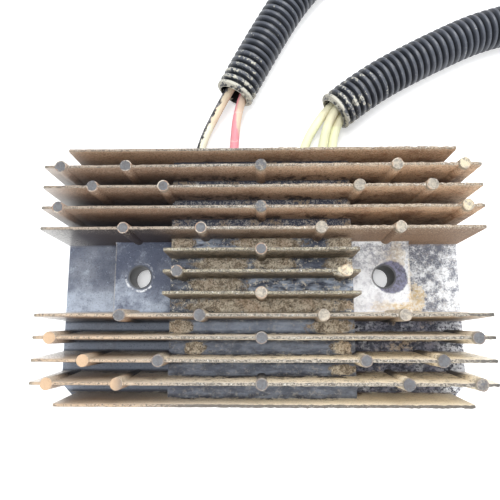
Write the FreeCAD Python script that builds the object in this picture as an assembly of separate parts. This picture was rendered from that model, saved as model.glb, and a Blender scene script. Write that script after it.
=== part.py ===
import FreeCAD, Part
import math
import os

os.makedirs("parts", exist_ok=True)

# A finned regulator and rectifier for a small engine's alternator. It lies on its back, fins up.
# X runs along the fins, Y across them towards the side where the leads leave, Z up through the fins.
# The origin is the centre of the back face. All sizes are in millimetres.

# Cast heat sink: overall sizes
FIN_LENGTH = 128.0
FIN_PITCH = 6.21
FIN_ROWS = 13
BODY_HEIGHT = 26.8
FIN_TIP_THICKNESS = 0.9
FIN_DRAFT = 0.045
FIN_CORNER_CHAMFER = 0.9
OUTER_FIN_SHORTER = 5.5
OUTER_FIN_LOWER = 3.3
SHORT_FIN_ROWS = 3

# Cast heat sink: the stepped base under the fins
FLANGE_THICKNESS = 4.6
PAD_HEIGHT = 9.3
PLATFORM_HEIGHT = 14.3
PLATFORM_LENGTH = 56.0
PAD_REACH = 47.0
STEP_DRAFT = 0.4
CORNER_CHAMFER = 5.3

# Cast heat sink: mounting holes and ejector pins
BOLT_SPACING = 77.5
BOLT_HOLE_DIAMETER = 6.8
PIN_DIAMETER = 3.5
PIN_RISE = 0.3

# Ejector pins of each row, counted from the middle fin, as shares of that fin's half length
PIN_SHARES = {0: [0.854], 1: [0.0], 2: [0.27, 0.62], 3: [0.0, 0.922], 4: [0.445, 0.77], 5: [0.0, 0.62, 0.922]}

# Small round bars, wires and looms are drawn with this many flats, which keeps the many of them light
ROUND_SIDES = 10

# Potted cavity in the back
CAVITY_SIDE_WALL = 2.0
CAVITY_END_WALL = 3.6
CAVITY_ROOF = 2.9
RESIN_RECESS = 0.6
CAVITY_CORNER_RADIUS = 2.5

# Leads, looms and where they leave the +Y wall
WIRE_DIAMETER = 3.1
WIRE_EXIT_HEIGHT = 2.6
NOTCH_CLEARANCE = 0.3
LOOM_OUTER_DIAMETER = 13.4
LOOM_BORE_DIAMETER = 10.4
LOOM_FLOOR_GAP = 0.25
ARC_SHARE = 0.45

# Circuit in the cavity
SUBSTRATE_THICKNESS = 1.0
SUBSTRATE_MARGIN = 1.6
SUBSTRATE_LEAD_GAP = 11.0
TRACK_THICKNESS = 0.3
TRACK_WIDTH = 3.0
ROW_TRACK_WIDTH = 8.0
PHASE_ROWS = [9.0, -6.0, -21.0]
TRACK_LEFT_END = -23.0
DIODE_SIDE = 6.6
THYRISTOR_SIDE = 7.6
CHIP_HEIGHT = 2.4
BUSBAR_THICKNESS = 0.8
BUSBAR_WIDTH = 3.6
GROUND_COLUMN = -19.5
POSITIVE_COLUMN = -9.7
THYRISTOR_COLUMN = 3.0
BUSBAR_END = 21.0
BUSBAR_LINK = -29.0
FOOT_SIDE = 3.0
TAB_THICKNESS = 0.8
BARREL_DIAMETER = 3.0
TERMINAL_FACE = 30.0
TRACK_TERMINAL_COLUMNS = [12.8, 19.2, 23.6]

# Control board in the cavity
BOARD_LENGTH = 25.0
BOARD_WIDTH = 44.0
BOARD_THICKNESS = 1.2
BOARD_DROP = 2.9
BOARD_CENTRE_X = 12.5
BOARD_CENTRE_Y = -7.0
BOARD_PIN_SIDE = 0.8
GATE_PIN_INSET = 0.9
SENSE_PIN_COLUMN = 11.0
CONTROL_CHIP = {"x": 3.0, "y": 6.0, "length": 8.0, "width": 6.0, "height": 1.6}
SMOOTHING_CAPACITOR = {"x": -5.0, "y": -10.0, "length": 6.0, "width": 5.0, "height": 2.2}
REFERENCE_DIODE = {"x": 6.5, "y": -14.0, "length": 3.6, "width": 1.8, "height": 1.4}
SENSE_RESISTOR = {"y": -4.0, "length": 1.6, "width": 3.2, "height": 0.6}
SENSE_RESISTOR_COLUMNS = [1.0, 4.5, 8.0]

# Plugs on the ends of the leads
PLUG_LENGTH = 27.0
PLUG_HEIGHT = 13.0
PLUG_PITCH = 5.8
PLUG_SIDE_WALL = 4.2
PLUG_COLLAR_LENGTH = 15.0
PLUG_NOSE_STEP = 1.6
PLUG_EDGE_CHAMFER = 0.9
WIRE_SEAL_DIAMETER = 4.8
WIRE_SEAL_LENGTH = 6.0
CONTACT_LENGTH = 16.0
CONTACT_SIDE = 2.6
CONTACT_START = 9.0
CONTACT_WINDOW = 1.8
RING_SEAL_LENGTH = 2.4
RING_SEAL_BAND = 1.0
LATCH_LENGTH = 17.0
LATCH_WIDTH = 6.0
LATCH_THICKNESS = 1.4
LATCH_GAP = 1.5

# Routes, chosen by hand: where each wire leaves, the points before its loom, and the looms in plan
DC_LOOM_ROUTE = [(-9.3, 63.0), (1.7, 84.3), (15.5, 106.4), (36.3, 123.6), (61.5, 133.2)]
AC_LOOM_ROUTE = [(24.8, 56.3), (36.2, 65.6), (55.4, 76.1), (78.9, 87.3), (105.6, 91.1), (132.1, 85.9)]
DC_PLUG_PLACE = (88.5, 140.7)
DC_PLUG_HEADING = 10.0
AC_PLUG_PLACE = (158.5, 76.6)
AC_PLUG_HEADING = -26.0
PLUG_ENTRY = -8.0

# Each wire: plan of its exit and first bend, then its seat at the loom's mouth and in the bundle,
# both as offsets to the left of the loom's centre line and up from it
GROUND_WIRE = {"exit": -22.9, "bend": 43.0, "mouth": (2.9, -1.2), "bundle": (1.8, -2.4)}
POSITIVE_WIRE = {"exit": -9.7, "bend": 43.0, "mouth": (-1.9, -1.4), "bundle": (-1.8, -2.4)}
PHASE_WIRES = [
    {"exit": 12.8, "bend": 43.0, "mouth": (3.4, -1.0), "bundle": (1.9, -2.2)},
    {"exit": 20.2, "bend": 42.5, "mouth": (1.1, 1.3), "bundle": (0.1, 0.9)},
    {"exit": 23.8, "bend": 41.4, "mouth": (-2.1, -0.6), "bundle": (-1.5, -2.1)},
]

# Worked out from the sizes above: the heat sink's extents, then the levels inside the cavity
MIDDLE_ROW = (FIN_ROWS - 1) // 2
HALF_LENGTH = FIN_LENGTH / 2
HALF_PLATFORM = PLATFORM_LENGTH / 2
OUTER_FIN_TIP = BODY_HEIGHT - OUTER_FIN_LOWER
OUTER_ROW_Y = MIDDLE_ROW * FIN_PITCH
HALF_WIDTH = OUTER_ROW_Y + FIN_TIP_THICKNESS / 2 + FIN_DRAFT * OUTER_FIN_TIP
PAD_HALF_WIDTH = (SHORT_FIN_ROWS // 2 + 1) * FIN_PITCH
CAVITY_HALF_LENGTH = HALF_PLATFORM - CAVITY_SIDE_WALL
CAVITY_HALF_WIDTH = HALF_WIDTH - CAVITY_END_WALL
CAVITY_DEPTH = PLATFORM_HEIGHT - CAVITY_ROOF
LOOM_AXIS_HEIGHT = LOOM_OUTER_DIAMETER / 2 + LOOM_FLOOR_GAP
SUBSTRATE_BOTTOM = CAVITY_DEPTH - SUBSTRATE_THICKNESS
TRACK_BOTTOM = SUBSTRATE_BOTTOM - TRACK_THICKNESS
CHIP_BOTTOM = TRACK_BOTTOM - CHIP_HEIGHT
BUSBAR_BOTTOM = CHIP_BOTTOM - BUSBAR_THICKNESS
BOARD_TOP = CHIP_BOTTOM - BOARD_DROP
BOARD_BOTTOM = BOARD_TOP - BOARD_THICKNESS
SUBSTRATE_TOP_END = CAVITY_HALF_WIDTH - SUBSTRATE_LEAD_GAP + FOOT_SIDE


def vector(x, y, z=0.0):
    return FreeCAD.Vector(x, y, z)


def box(low, high):
    size = [top - bottom for bottom, top in zip(low, high)]
    return Part.makeBox(size[0], size[1], size[2], vector(*low))


def block(centre_x, centre_y, length, width, bottom, top):
    low = (centre_x - length / 2, centre_y - width / 2, bottom)
    high = (centre_x + length / 2, centre_y + width / 2, top)
    return box(low, high)


def prism(points, direction):
    outline = Part.makePolygon(points + [points[0]])
    return Part.Face(outline).extrude(direction)


def corner_radius(diameter):
    """From the centre to a corner of the regular outline that has the circle's area."""
    step = 2 * math.pi / ROUND_SIDES
    return diameter / 2 / math.sqrt(math.sin(step) / step)


def round_outline(diameter, centre, normal):
    """A regular outline square to the normal, in place of a circle."""
    radius = corner_radius(diameter)
    turn = FreeCAD.Rotation(vector(0, 0, 1), normal)
    corners = []
    for number in range(ROUND_SIDES):
        angle = 2 * math.pi * number / ROUND_SIDES
        corners.append(centre + turn.multVec(vector(radius * math.cos(angle), radius * math.sin(angle))))
    return Part.makePolygon(corners + [corners[0]])


def round_bar(diameter, length, start, direction):
    return Part.Face(round_outline(diameter, start, direction)).extrude(direction * length)


def rounded_block(length, width, bottom, top, radius):
    body = block(0, 0, length, width, bottom, top)
    upright = [edge for edge in body.Edges if edge.BoundBox.ZLength > (top - bottom) / 2]
    return body.makeFillet(radius, upright)


def save(name, shape):
    print(name, len(shape.Solids), "solids, volume", round(shape.Volume, 2))
    shape.exportStep("parts/" + name + ".step")
    return shape


def row_height(row):
    if abs(row) == MIDDLE_ROW:
        return OUTER_FIN_TIP
    return BODY_HEIGHT


def row_half_length(row):
    if abs(row) <= SHORT_FIN_ROWS // 2:
        return HALF_PLATFORM
    if abs(row) == MIDDLE_ROW:
        return HALF_LENGTH - OUTER_FIN_SHORTER
    return HALF_LENGTH


def fin(row):
    """One tapered fin, its section drawn across Y and Z and its two upper corners cut."""
    height = row_height(row)
    reach = row_half_length(row)
    tip = FIN_TIP_THICKNESS / 2
    root = tip + FIN_DRAFT * height
    centre = row * FIN_PITCH
    section = [
        vector(-reach, centre - root, 0),
        vector(-reach, centre + root, 0),
        vector(-reach, centre + tip, height),
        vector(-reach, centre - tip, height),
    ]
    body = prism(section, vector(2 * reach, 0, 0))
    slab = box((-reach, centre - root, 0), (reach, centre + root, height))
    corners = [edge for edge in slab.Edges if edge.BoundBox.YLength > root and edge.BoundBox.ZMin > height / 2]
    corners = [edge for edge in corners if edge.BoundBox.XLength < tip]
    return body.common(slab.makeChamfer(FIN_CORNER_CHAMFER, corners))


def ejector_pins(row):
    start = FLANGE_THICKNESS / 2
    length = row_height(row) + PIN_RISE - start
    shares = PIN_SHARES.get(abs(row), [])
    columns = sorted({sign * share * row_half_length(row) for share in shares for sign in (-1, 1)})
    return [round_bar(PIN_DIAMETER, length, vector(x, row * FIN_PITCH, start), vector(0, 0, 1)) for x in columns]


def flange_plate():
    corner_x = HALF_LENGTH - CORNER_CHAMFER
    corner_y = HALF_WIDTH - CORNER_CHAMFER
    outline = [
        vector(corner_x, HALF_WIDTH),
        vector(HALF_LENGTH, corner_y),
        vector(HALF_LENGTH, -corner_y),
        vector(corner_x, -HALF_WIDTH),
        vector(-corner_x, -HALF_WIDTH),
        vector(-HALF_LENGTH, -corner_y),
        vector(-HALF_LENGTH, corner_y),
        vector(-corner_x, HALF_WIDTH),
    ]
    return prism(outline, vector(0, 0, FLANGE_THICKNESS))


def platform():
    top = HALF_PLATFORM
    foot = HALF_PLATFORM + STEP_DRAFT
    section = [
        vector(-foot, -OUTER_ROW_Y, 0),
        vector(foot, -OUTER_ROW_Y, 0),
        vector(top, -OUTER_ROW_Y, PLATFORM_HEIGHT),
        vector(-top, -OUTER_ROW_Y, PLATFORM_HEIGHT),
    ]
    return prism(section, vector(0, 2 * OUTER_ROW_Y, 0))


def mounting_pads():
    top = PAD_REACH
    foot = PAD_REACH + STEP_DRAFT
    section = [
        vector(-foot, -PAD_HALF_WIDTH, 0),
        vector(foot, -PAD_HALF_WIDTH, 0),
        vector(top, -PAD_HALF_WIDTH, PAD_HEIGHT),
        vector(-top, -PAD_HALF_WIDTH, PAD_HEIGHT),
    ]
    return prism(section, vector(0, 2 * PAD_HALF_WIDTH, 0))


def cavity():
    return rounded_block(
        2 * CAVITY_HALF_LENGTH, 2 * CAVITY_HALF_WIDTH, 0, CAVITY_DEPTH, CAVITY_CORNER_RADIUS
    )


def exit_notch(x):
    """A round-topped notch through the +Y wall for one wire, open to the back."""
    diameter = WIRE_DIAMETER + 2 * NOTCH_CLEARANCE
    inner = CAVITY_HALF_WIDTH - CAVITY_CORNER_RADIUS
    length = HALF_WIDTH - inner
    arch = round_bar(diameter, length, vector(x, inner, WIRE_EXIT_HEIGHT), vector(0, 1, 0))
    reach = corner_radius(diameter)
    throat = box((x - reach, inner, 0), (x + reach, inner + length, WIRE_EXIT_HEIGHT))
    return arch.fuse(throat)


def exit_columns():
    wires = [GROUND_WIRE, POSITIVE_WIRE] + PHASE_WIRES
    return [wire["exit"] for wire in wires]


def heat_sink():
    rows = range(-MIDDLE_ROW, MIDDLE_ROW + 1)
    pieces = [platform(), mounting_pads()]
    for row in rows:
        pieces.append(fin(row))
        pieces.extend(ejector_pins(row))
    body = flange_plate().fuse(pieces)
    cuts = [cavity()]
    for x in (-BOLT_SPACING / 2, BOLT_SPACING / 2):
        cuts.append(Part.makeCylinder(BOLT_HOLE_DIAMETER / 2, BODY_HEIGHT, vector(x, 0, 0)))
    cuts.extend(exit_notch(x) for x in exit_columns())
    return body.cut(cuts).removeSplitter()


def strip(route, width, bottom, top):
    """A flat conductor of one width along straight legs that run parallel to X or Y."""
    legs = []
    for start, end in zip(route, route[1:]):
        low = (min(start[0], end[0]) - width / 2, min(start[1], end[1]) - width / 2, bottom)
        high = (max(start[0], end[0]) + width / 2, max(start[1], end[1]) + width / 2, top)
        legs.append(box(low, high))
    body = legs[0]
    if len(legs) > 1:
        body = body.fuse(legs[1:]).removeSplitter()
    return body


def arc_radius(before, corner, after):
    first = before - corner
    second = after - corner
    turn = math.pi - first.getAngle(second)
    return ARC_SHARE * min(first.Length, second.Length) / math.tan(turn / 2)


def cord_path(points):
    """Straight runs joined by tangent arcs, each arc as large as its two runs allow."""
    edges = []
    start = points[0]
    for before, corner, after in zip(points, points[1:], points[2:]):
        to_before = (before - corner).normalize()
        to_after = (after - corner).normalize()
        reach = ARC_SHARE * min((before - corner).Length, (after - corner).Length)
        radius = arc_radius(before, corner, after)
        enter = corner + to_before * reach
        leave = corner + to_after * reach
        bisector = (to_before + to_after).normalize()
        middle = corner + bisector * (math.sqrt(radius**2 + reach**2) - radius)
        edges.append(Part.LineSegment(start, enter).toShape())
        edges.append(Part.Arc(enter, middle, leave).toShape())
        start = leave
    edges.append(Part.LineSegment(start, points[-1]).toShape())
    return Part.Wire(edges)


def tube(name, points, diameter):
    path = cord_path(points)
    outline = round_outline(diameter, points[0], points[1] - points[0])
    body = path.makePipeShell([outline], True, False)
    radii = [arc_radius(*corner) for corner in zip(points, points[1:], points[2:])]
    expected = math.pi * diameter**2 / 4 * path.Length
    print(name, "length", round(path.Length, 1), "volume ratio", round(body.Volume / expected, 4))
    print(name, "radii in diameters", [round(radius / diameter, 1) for radius in radii])
    return body


def beside(route, mouth, bundle):
    """The points of a wire that lies in a loom, moved to the left of its centre line and up from it."""
    moved = []
    for index, point in enumerate(route):
        side, rise = mouth if index == 0 else bundle
        here = vector(*point)
        before = here - vector(*route[max(index - 1, 0)])
        after = vector(*route[min(index + 1, len(route) - 1)]) - here
        into = before.normalize() if index > 0 else after.normalize()
        out = after.normalize() if index < len(route) - 1 else into
        left = vector(-into.y - out.y, into.x + out.x).normalize()
        stretch = 1 / math.sqrt((1 + into.dot(out)) / 2)
        spot = here + left * side * stretch
        moved.append(vector(spot.x, spot.y, LOOM_AXIS_HEIGHT + rise))
    return moved


def plug_spot(place, heading, along, across, height):
    """A point given in a plug's own frame, its back face at zero and its nose along the heading."""
    angle = math.radians(heading)
    x = place[0] + along * math.cos(angle) - across * math.sin(angle)
    y = place[1] + along * math.sin(angle) + across * math.cos(angle)
    return vector(x, y, height)


def wire_route(wire, loom_route, place, heading, across):
    start = [
        vector(wire["exit"], TERMINAL_FACE, WIRE_EXIT_HEIGHT),
        vector(wire["exit"], wire["bend"], WIRE_EXIT_HEIGHT),
    ]
    inside = beside(loom_route, wire["mouth"], wire["bundle"])
    end = [
        plug_spot(place, heading, PLUG_ENTRY, across, PLUG_HEIGHT / 2),
        plug_spot(place, heading, CONTACT_START, across, PLUG_HEIGHT / 2),
    ]
    return start + inside + end


def loom(name, route):
    points = [vector(x, y, LOOM_AXIS_HEIGHT) for x, y in route]
    outside = tube(name, points, LOOM_OUTER_DIAMETER)
    bore = tube(name + " bore", points, LOOM_BORE_DIAMETER)
    return outside.cut(bore)


def set_down(shape, place, heading):
    shape = shape.copy()
    shape.rotate(vector(0, 0, 0), vector(0, 0, 1), heading)
    shape.translate(vector(place[0], place[1]))
    return shape


def seal_bar(lane):
    return round_bar(WIRE_SEAL_DIAMETER, WIRE_SEAL_LENGTH, vector(0, lane, PLUG_HEIGHT / 2), vector(1, 0, 0))


def plug_box(start, end, width, height):
    body = box((start, -width / 2, (PLUG_HEIGHT - height) / 2), (end, width / 2, (PLUG_HEIGHT + height) / 2))
    long_edges = [edge for edge in body.Edges if edge.BoundBox.XLength > (end - start) / 2]
    return body.makeChamfer(PLUG_EDGE_CHAMFER, long_edges)


def plug_housing(lanes):
    """A plug with a collar behind, a smaller nose in front and a latch arm hinged at the nose."""
    width = (len(lanes) - 1) * PLUG_PITCH + 2 * PLUG_SIDE_WALL
    nose_width = width - 2 * PLUG_NOSE_STEP
    height = PLUG_HEIGHT - LATCH_THICKNESS - LATCH_GAP
    collar = plug_box(0, PLUG_COLLAR_LENGTH, width, height)
    nose_height = height - 2 * PLUG_NOSE_STEP
    nose = plug_box(0, PLUG_LENGTH, nose_width, nose_height)
    top = (PLUG_HEIGHT + height) / 2
    arm_end = PLUG_LENGTH - PLUG_NOSE_STEP
    arm = box(
        (arm_end - LATCH_LENGTH, -LATCH_WIDTH / 2, top),
        (arm_end, LATCH_WIDTH / 2, top + LATCH_THICKNESS),
    )
    hinge = box(
        (arm_end - LATCH_THICKNESS, -LATCH_WIDTH / 2, top - PLUG_NOSE_STEP - LATCH_THICKNESS),
        (arm_end, LATCH_WIDTH / 2, top),
    )
    body = collar.fuse([nose, arm, hinge])
    cuts = []
    for lane in lanes:
        cuts.append(seal_bar(lane))
        cuts.append(contact(lane))
        cuts.append(
            box(
                (CONTACT_START, lane - CONTACT_WINDOW / 2, (PLUG_HEIGHT - CONTACT_WINDOW) / 2),
                (PLUG_LENGTH, lane + CONTACT_WINDOW / 2, (PLUG_HEIGHT + CONTACT_WINDOW) / 2),
            )
        )
    return body.cut(cuts).removeSplitter()


def contact(lane):
    low = (CONTACT_START, lane - CONTACT_SIDE / 2, (PLUG_HEIGHT - CONTACT_SIDE) / 2)
    high = (CONTACT_START + CONTACT_LENGTH, lane + CONTACT_SIDE / 2, (PLUG_HEIGHT + CONTACT_SIDE) / 2)
    return box(low, high)


def open_contact(lane):
    mouth = box(
        (CONTACT_START + CONTACT_LENGTH / 2, lane - CONTACT_WINDOW / 2, (PLUG_HEIGHT - CONTACT_WINDOW) / 2),
        (PLUG_LENGTH, lane + CONTACT_WINDOW / 2, (PLUG_HEIGHT + CONTACT_WINDOW) / 2),
    )
    return contact(lane).cut(mouth)


def ring_seal(lanes):
    width = (len(lanes) - 1) * PLUG_PITCH + 2 * PLUG_SIDE_WALL
    height = PLUG_HEIGHT - LATCH_THICKNESS - LATCH_GAP
    nose_width = width - 2 * PLUG_NOSE_STEP
    nose_height = height - 2 * PLUG_NOSE_STEP
    start = PLUG_COLLAR_LENGTH
    end = PLUG_COLLAR_LENGTH + RING_SEAL_LENGTH
    outer = plug_box(start, end, nose_width + 2 * RING_SEAL_BAND, nose_height + 2 * RING_SEAL_BAND)
    return outer.cut(plug_box(0, PLUG_LENGTH, nose_width, nose_height))


def plug(prefix, lanes, place, heading, held_wires):
    """A plug with its seals and contacts. The wires cut their own ways through housing and seals."""
    save(prefix + "_plug_housing", set_down(plug_housing(lanes), place, heading).cut(held_wires))
    save(prefix + "_plug_ring_seal", set_down(ring_seal(lanes), place, heading))
    for number, (lane, wire) in enumerate(zip(lanes, held_wires), 1):
        save(f"{prefix}_plug_wire_seal_{number}", set_down(seal_bar(lane), place, heading).cut(wire))
        save(f"{prefix}_plug_contact_{number}", set_down(open_contact(lane), place, heading))


def substrate():
    reach = CAVITY_HALF_LENGTH - SUBSTRATE_MARGIN / 2
    low = (-reach, -CAVITY_HALF_WIDTH + SUBSTRATE_MARGIN, SUBSTRATE_BOTTOM)
    return box(low, (reach, SUBSTRATE_TOP_END, CAVITY_DEPTH))


def phase_track(column, row):
    """A copper track from a phase terminal down to its row, where the three chips of the phase sit."""
    riser = strip([(column, BUSBAR_END), (column, row)], TRACK_WIDTH, TRACK_BOTTOM, SUBSTRATE_BOTTOM)
    low = (TRACK_LEFT_END, row - ROW_TRACK_WIDTH / 2, TRACK_BOTTOM)
    shelf = box(low, (column + TRACK_WIDTH / 2, row + ROW_TRACK_WIDTH / 2, SUBSTRATE_BOTTOM))
    return riser.fuse(shelf).removeSplitter()


def terminal(foot_column, wire_column, top):
    """A copper tab: a foot on its conductor, an upright, and a barrel that meets the wire's end."""
    foot = block(foot_column, BUSBAR_END, FOOT_SIDE, FOOT_SIDE, top - TAB_THICKNESS, top)
    back = BUSBAR_END + FOOT_SIDE / 2
    low = min(foot_column, wire_column) - FOOT_SIDE / 2
    high = max(foot_column, wire_column) + FOOT_SIDE / 2
    upright = box((low, back, WIRE_EXIT_HEIGHT - BARREL_DIAMETER / 2), (high, back + TAB_THICKNESS, top))
    start = vector(wire_column, back + TAB_THICKNESS, WIRE_EXIT_HEIGHT)
    barrel = round_bar(BARREL_DIAMETER, TERMINAL_FACE - start.y, start, vector(0, 1, 0))
    return foot.fuse([upright, barrel]).removeSplitter()


def chip(column, row, side):
    return block(column, row, side, side, CHIP_BOTTOM, TRACK_BOTTOM)


def ground_busbar():
    route = [
        (GROUND_COLUMN, BUSBAR_END),
        (GROUND_COLUMN, BUSBAR_LINK),
        (THYRISTOR_COLUMN, BUSBAR_LINK),
        (THYRISTOR_COLUMN, PHASE_ROWS[0]),
    ]
    return strip(route, BUSBAR_WIDTH, BUSBAR_BOTTOM, CHIP_BOTTOM)


def positive_busbar():
    route = [(POSITIVE_COLUMN, BUSBAR_END), (POSITIVE_COLUMN, PHASE_ROWS[-1])]
    return strip(route, BUSBAR_WIDTH, BUSBAR_BOTTOM, CHIP_BOTTOM)


def control_board():
    return block(BOARD_CENTRE_X, BOARD_CENTRE_Y, BOARD_LENGTH, BOARD_WIDTH, BOARD_BOTTOM, BOARD_TOP)


def board_pins():
    """Gate pins stand on the thyristors and sense pins on the phase tracks. They carry the board."""
    gate_column = THYRISTOR_COLUMN + THYRISTOR_SIDE / 2 - GATE_PIN_INSET
    side = BOARD_PIN_SIDE
    pins = []
    for row in PHASE_ROWS:
        pins.append(block(gate_column, row, side, side, BOARD_TOP, CHIP_BOTTOM))
        pins.append(block(SENSE_PIN_COLUMN, row, side, side, BOARD_TOP, TRACK_BOTTOM))
    return Part.makeCompound(pins)


def board_part(part):
    x = BOARD_CENTRE_X + part["x"]
    y = BOARD_CENTRE_Y + part["y"]
    return block(x, y, part["length"], part["width"], BOARD_BOTTOM - part["height"], BOARD_BOTTOM)


def potting_resin(held):
    filled = cavity().fuse([exit_notch(x) for x in exit_columns()])
    reach = HALF_LENGTH
    skin = box((-reach, -reach, 0), (reach, reach, RESIN_RECESS))
    return filled.cut([skin] + held).removeSplitter()


save("heat_sink", heat_sink())

circuit = [save("circuit_substrate", substrate())]
circuit.append(save("ground_busbar", ground_busbar()))
circuit.append(save("positive_busbar", positive_busbar()))
for number, (column, row) in enumerate(zip(TRACK_TERMINAL_COLUMNS, PHASE_ROWS), 1):
    circuit.append(save(f"phase_track_{number}", phase_track(column, row)))
    circuit.append(save(f"lower_diode_{number}", chip(GROUND_COLUMN, row, DIODE_SIDE)))
    circuit.append(save(f"upper_diode_{number}", chip(POSITIVE_COLUMN, row, DIODE_SIDE)))
    circuit.append(save(f"thyristor_{number}", chip(THYRISTOR_COLUMN, row, THYRISTOR_SIDE)))
    wire_column = PHASE_WIRES[number - 1]["exit"]
    circuit.append(save(f"phase_terminal_{number}", terminal(column, wire_column, TRACK_BOTTOM)))
circuit.append(save("ground_terminal", terminal(GROUND_COLUMN, GROUND_WIRE["exit"], BUSBAR_BOTTOM)))
circuit.append(save("positive_terminal", terminal(POSITIVE_COLUMN, POSITIVE_WIRE["exit"], BUSBAR_BOTTOM)))

circuit.append(save("control_board", control_board()))
circuit.append(save("control_board_pins", board_pins()))
circuit.append(save("control_chip", board_part(CONTROL_CHIP)))
circuit.append(save("smoothing_capacitor", board_part(SMOOTHING_CAPACITOR)))
circuit.append(save("reference_diode", board_part(REFERENCE_DIODE)))
resistors = [board_part(dict(SENSE_RESISTOR, x=x)) for x in SENSE_RESISTOR_COLUMNS]
circuit.append(save("sense_resistors", Part.makeCompound(resistors)))

dc_lanes = [PLUG_PITCH / 2, -PLUG_PITCH / 2]
ac_lanes = [PLUG_PITCH, 0.0, -PLUG_PITCH]
wires = []
for name, wire, lane in zip(["ground_wire", "positive_wire"], [GROUND_WIRE, POSITIVE_WIRE], dc_lanes):
    route = wire_route(wire, DC_LOOM_ROUTE, DC_PLUG_PLACE, DC_PLUG_HEADING, lane)
    wires.append(save(name, tube(name, route, WIRE_DIAMETER)))
for number, (wire, lane) in enumerate(zip(PHASE_WIRES, ac_lanes), 1):
    name = f"phase_wire_{number}"
    route = wire_route(wire, AC_LOOM_ROUTE, AC_PLUG_PLACE, AC_PLUG_HEADING, lane)
    wires.append(save(name, tube(name, route, WIRE_DIAMETER)))

save("potting_resin", potting_resin(circuit + wires))
save("dc_loom", loom("dc_loom", DC_LOOM_ROUTE))
save("ac_loom", loom("ac_loom", AC_LOOM_ROUTE))
plug("dc", dc_lanes, DC_PLUG_PLACE, DC_PLUG_HEADING, wires[:len(dc_lanes)])
plug("ac", ac_lanes, AC_PLUG_PLACE, AC_PLUG_HEADING, wires[len(dc_lanes):])
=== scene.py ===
import math
import random

import bpy
import numpy as np
from mathutils import Matrix, Vector, noise


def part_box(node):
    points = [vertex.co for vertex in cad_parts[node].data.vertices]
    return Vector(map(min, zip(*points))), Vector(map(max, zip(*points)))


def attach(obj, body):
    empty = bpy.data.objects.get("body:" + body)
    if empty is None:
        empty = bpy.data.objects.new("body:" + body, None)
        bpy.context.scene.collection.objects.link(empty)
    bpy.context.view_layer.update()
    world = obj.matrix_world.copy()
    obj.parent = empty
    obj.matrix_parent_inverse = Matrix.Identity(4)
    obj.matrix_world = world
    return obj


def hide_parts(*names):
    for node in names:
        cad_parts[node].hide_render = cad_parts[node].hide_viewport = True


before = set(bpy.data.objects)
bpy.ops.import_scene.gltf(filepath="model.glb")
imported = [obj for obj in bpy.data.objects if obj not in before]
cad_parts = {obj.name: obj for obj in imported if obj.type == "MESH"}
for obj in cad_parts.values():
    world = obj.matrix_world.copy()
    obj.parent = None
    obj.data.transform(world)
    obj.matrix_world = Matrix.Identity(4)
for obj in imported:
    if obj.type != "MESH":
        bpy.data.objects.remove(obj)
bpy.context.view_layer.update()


# Heat sink, the bare casting. One die-cast piece of aluminium: a stepped base with two bolted pads,
# thirteen thin tapered fins and the round ejector pins that stand in them. Its corners are soft
# from the die, and years of weather have pitted the fins' tips.
MM = 0.001
FIN_PITCH = 6.21 * MM
MIDDLE_ROW = 6
FIN_TIP_THICKNESS = 0.9 * MM
FIN_DRAFT = 0.045
FIN_CORNER_RADIUS = 0.5 * MM
OUTER_FIN_SHORTER = 5.5 * MM
OUTER_FIN_LOWER = 3.3 * MM
FLANGE_LEVEL = 4.6 * MM
PAD_LEVEL = 9.3 * MM
PLATFORM_LEVEL = 14.3 * MM
HALF_PLATFORM = 28.0 * MM
PAD_REACH = 47.0 * MM
STEP_DRAFT = 0.4 * MM
CORNER_CHAMFER = 5.3 * MM
BAY_ROW = 2
BOLT_COLUMN = 38.75 * MM
BOLT_HOLE_RADIUS = 3.4 * MM
PIN_RADIUS = 1.75 * MM
PIN_RISE = 0.3 * MM
PIN_SHARES = {0: [0.854], 1: [0.0], 2: [0.27, 0.62], 3: [0.0, 0.922], 4: [0.445, 0.77], 5: [0.0, 0.62, 0.922]}
CAVITY_SIDE_WALL = 2.0 * MM
CAVITY_END_WALL = 3.6 * MM
CAVITY_DEPTH = 11.4 * MM
CAVITY_CORNER_RADIUS = 2.5 * MM
WIRE_DIAMETER = 3.1 * MM
WIRE_EXIT_HEIGHT = 2.6 * MM
NOTCH_CLEARANCE = 0.3 * MM
NOTCH_THROAT = 4.0 * MM
# Where each wire leaves the casting, in millimetres from its middle
WIRE_EXITS = {
    "ground_wire": -22.9,
    "positive_wire": -9.7,
    "phase_wire_1": 12.8,
    "phase_wire_2": 20.2,
    "phase_wire_3": 23.8,
}
EDGE_SOFTNESS = 0.35 * MM
FIN_SINK = 0.6 * MM
PIN_SINK = 0.5 * MM
FIN_STATION_PITCH = 0.6 * MM
TIP_ROUNDING = 0.42
TIP_WEAR = 0.10 * MM
NICK_SPACING = 7 * MM
FIN_BEND = 0.10 * MM
SKIN_DEPTH = 0.045 * MM
SCAB_DEPTH = 0.22 * MM
ROOT_OVERLAP = 0.1 * MM
FILLET_HEIGHT = 0.8 * MM
FILLET_WIDTH = 0.9 * MM
FLOOR_POINT_PITCH = 0.75 * MM
BAY_EDGE_POINT_PITCH = 0.5 * MM
FLOOR_END_GAP = 0.3 * MM
CORNER_END_GAP = 3.6 * MM
LUMP_CENTRE = (22.9 * MM, -0.3 * MM, 25.0 * MM)
LUMP_HALF_SIZE = (2.6 * MM, 1.5 * MM, 1.9 * MM)

sink_low, sink_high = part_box("heat_sink")
half_length = sink_high.x
half_width = sink_high.y
full_tip = sink_high.z - PIN_RISE


def tip_of(row):
    return full_tip - OUTER_FIN_LOWER if abs(row) == MIDDLE_ROW else full_tip


def reach_of(row):
    if abs(row) < BAY_ROW:
        return HALF_PLATFORM
    return half_length - OUTER_FIN_SHORTER if abs(row) == MIDDLE_ROW else half_length


def half_thickness(row, height):
    return FIN_TIP_THICKNESS / 2 + FIN_DRAFT * np.maximum(tip_of(row) - height, 0.0)


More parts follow.
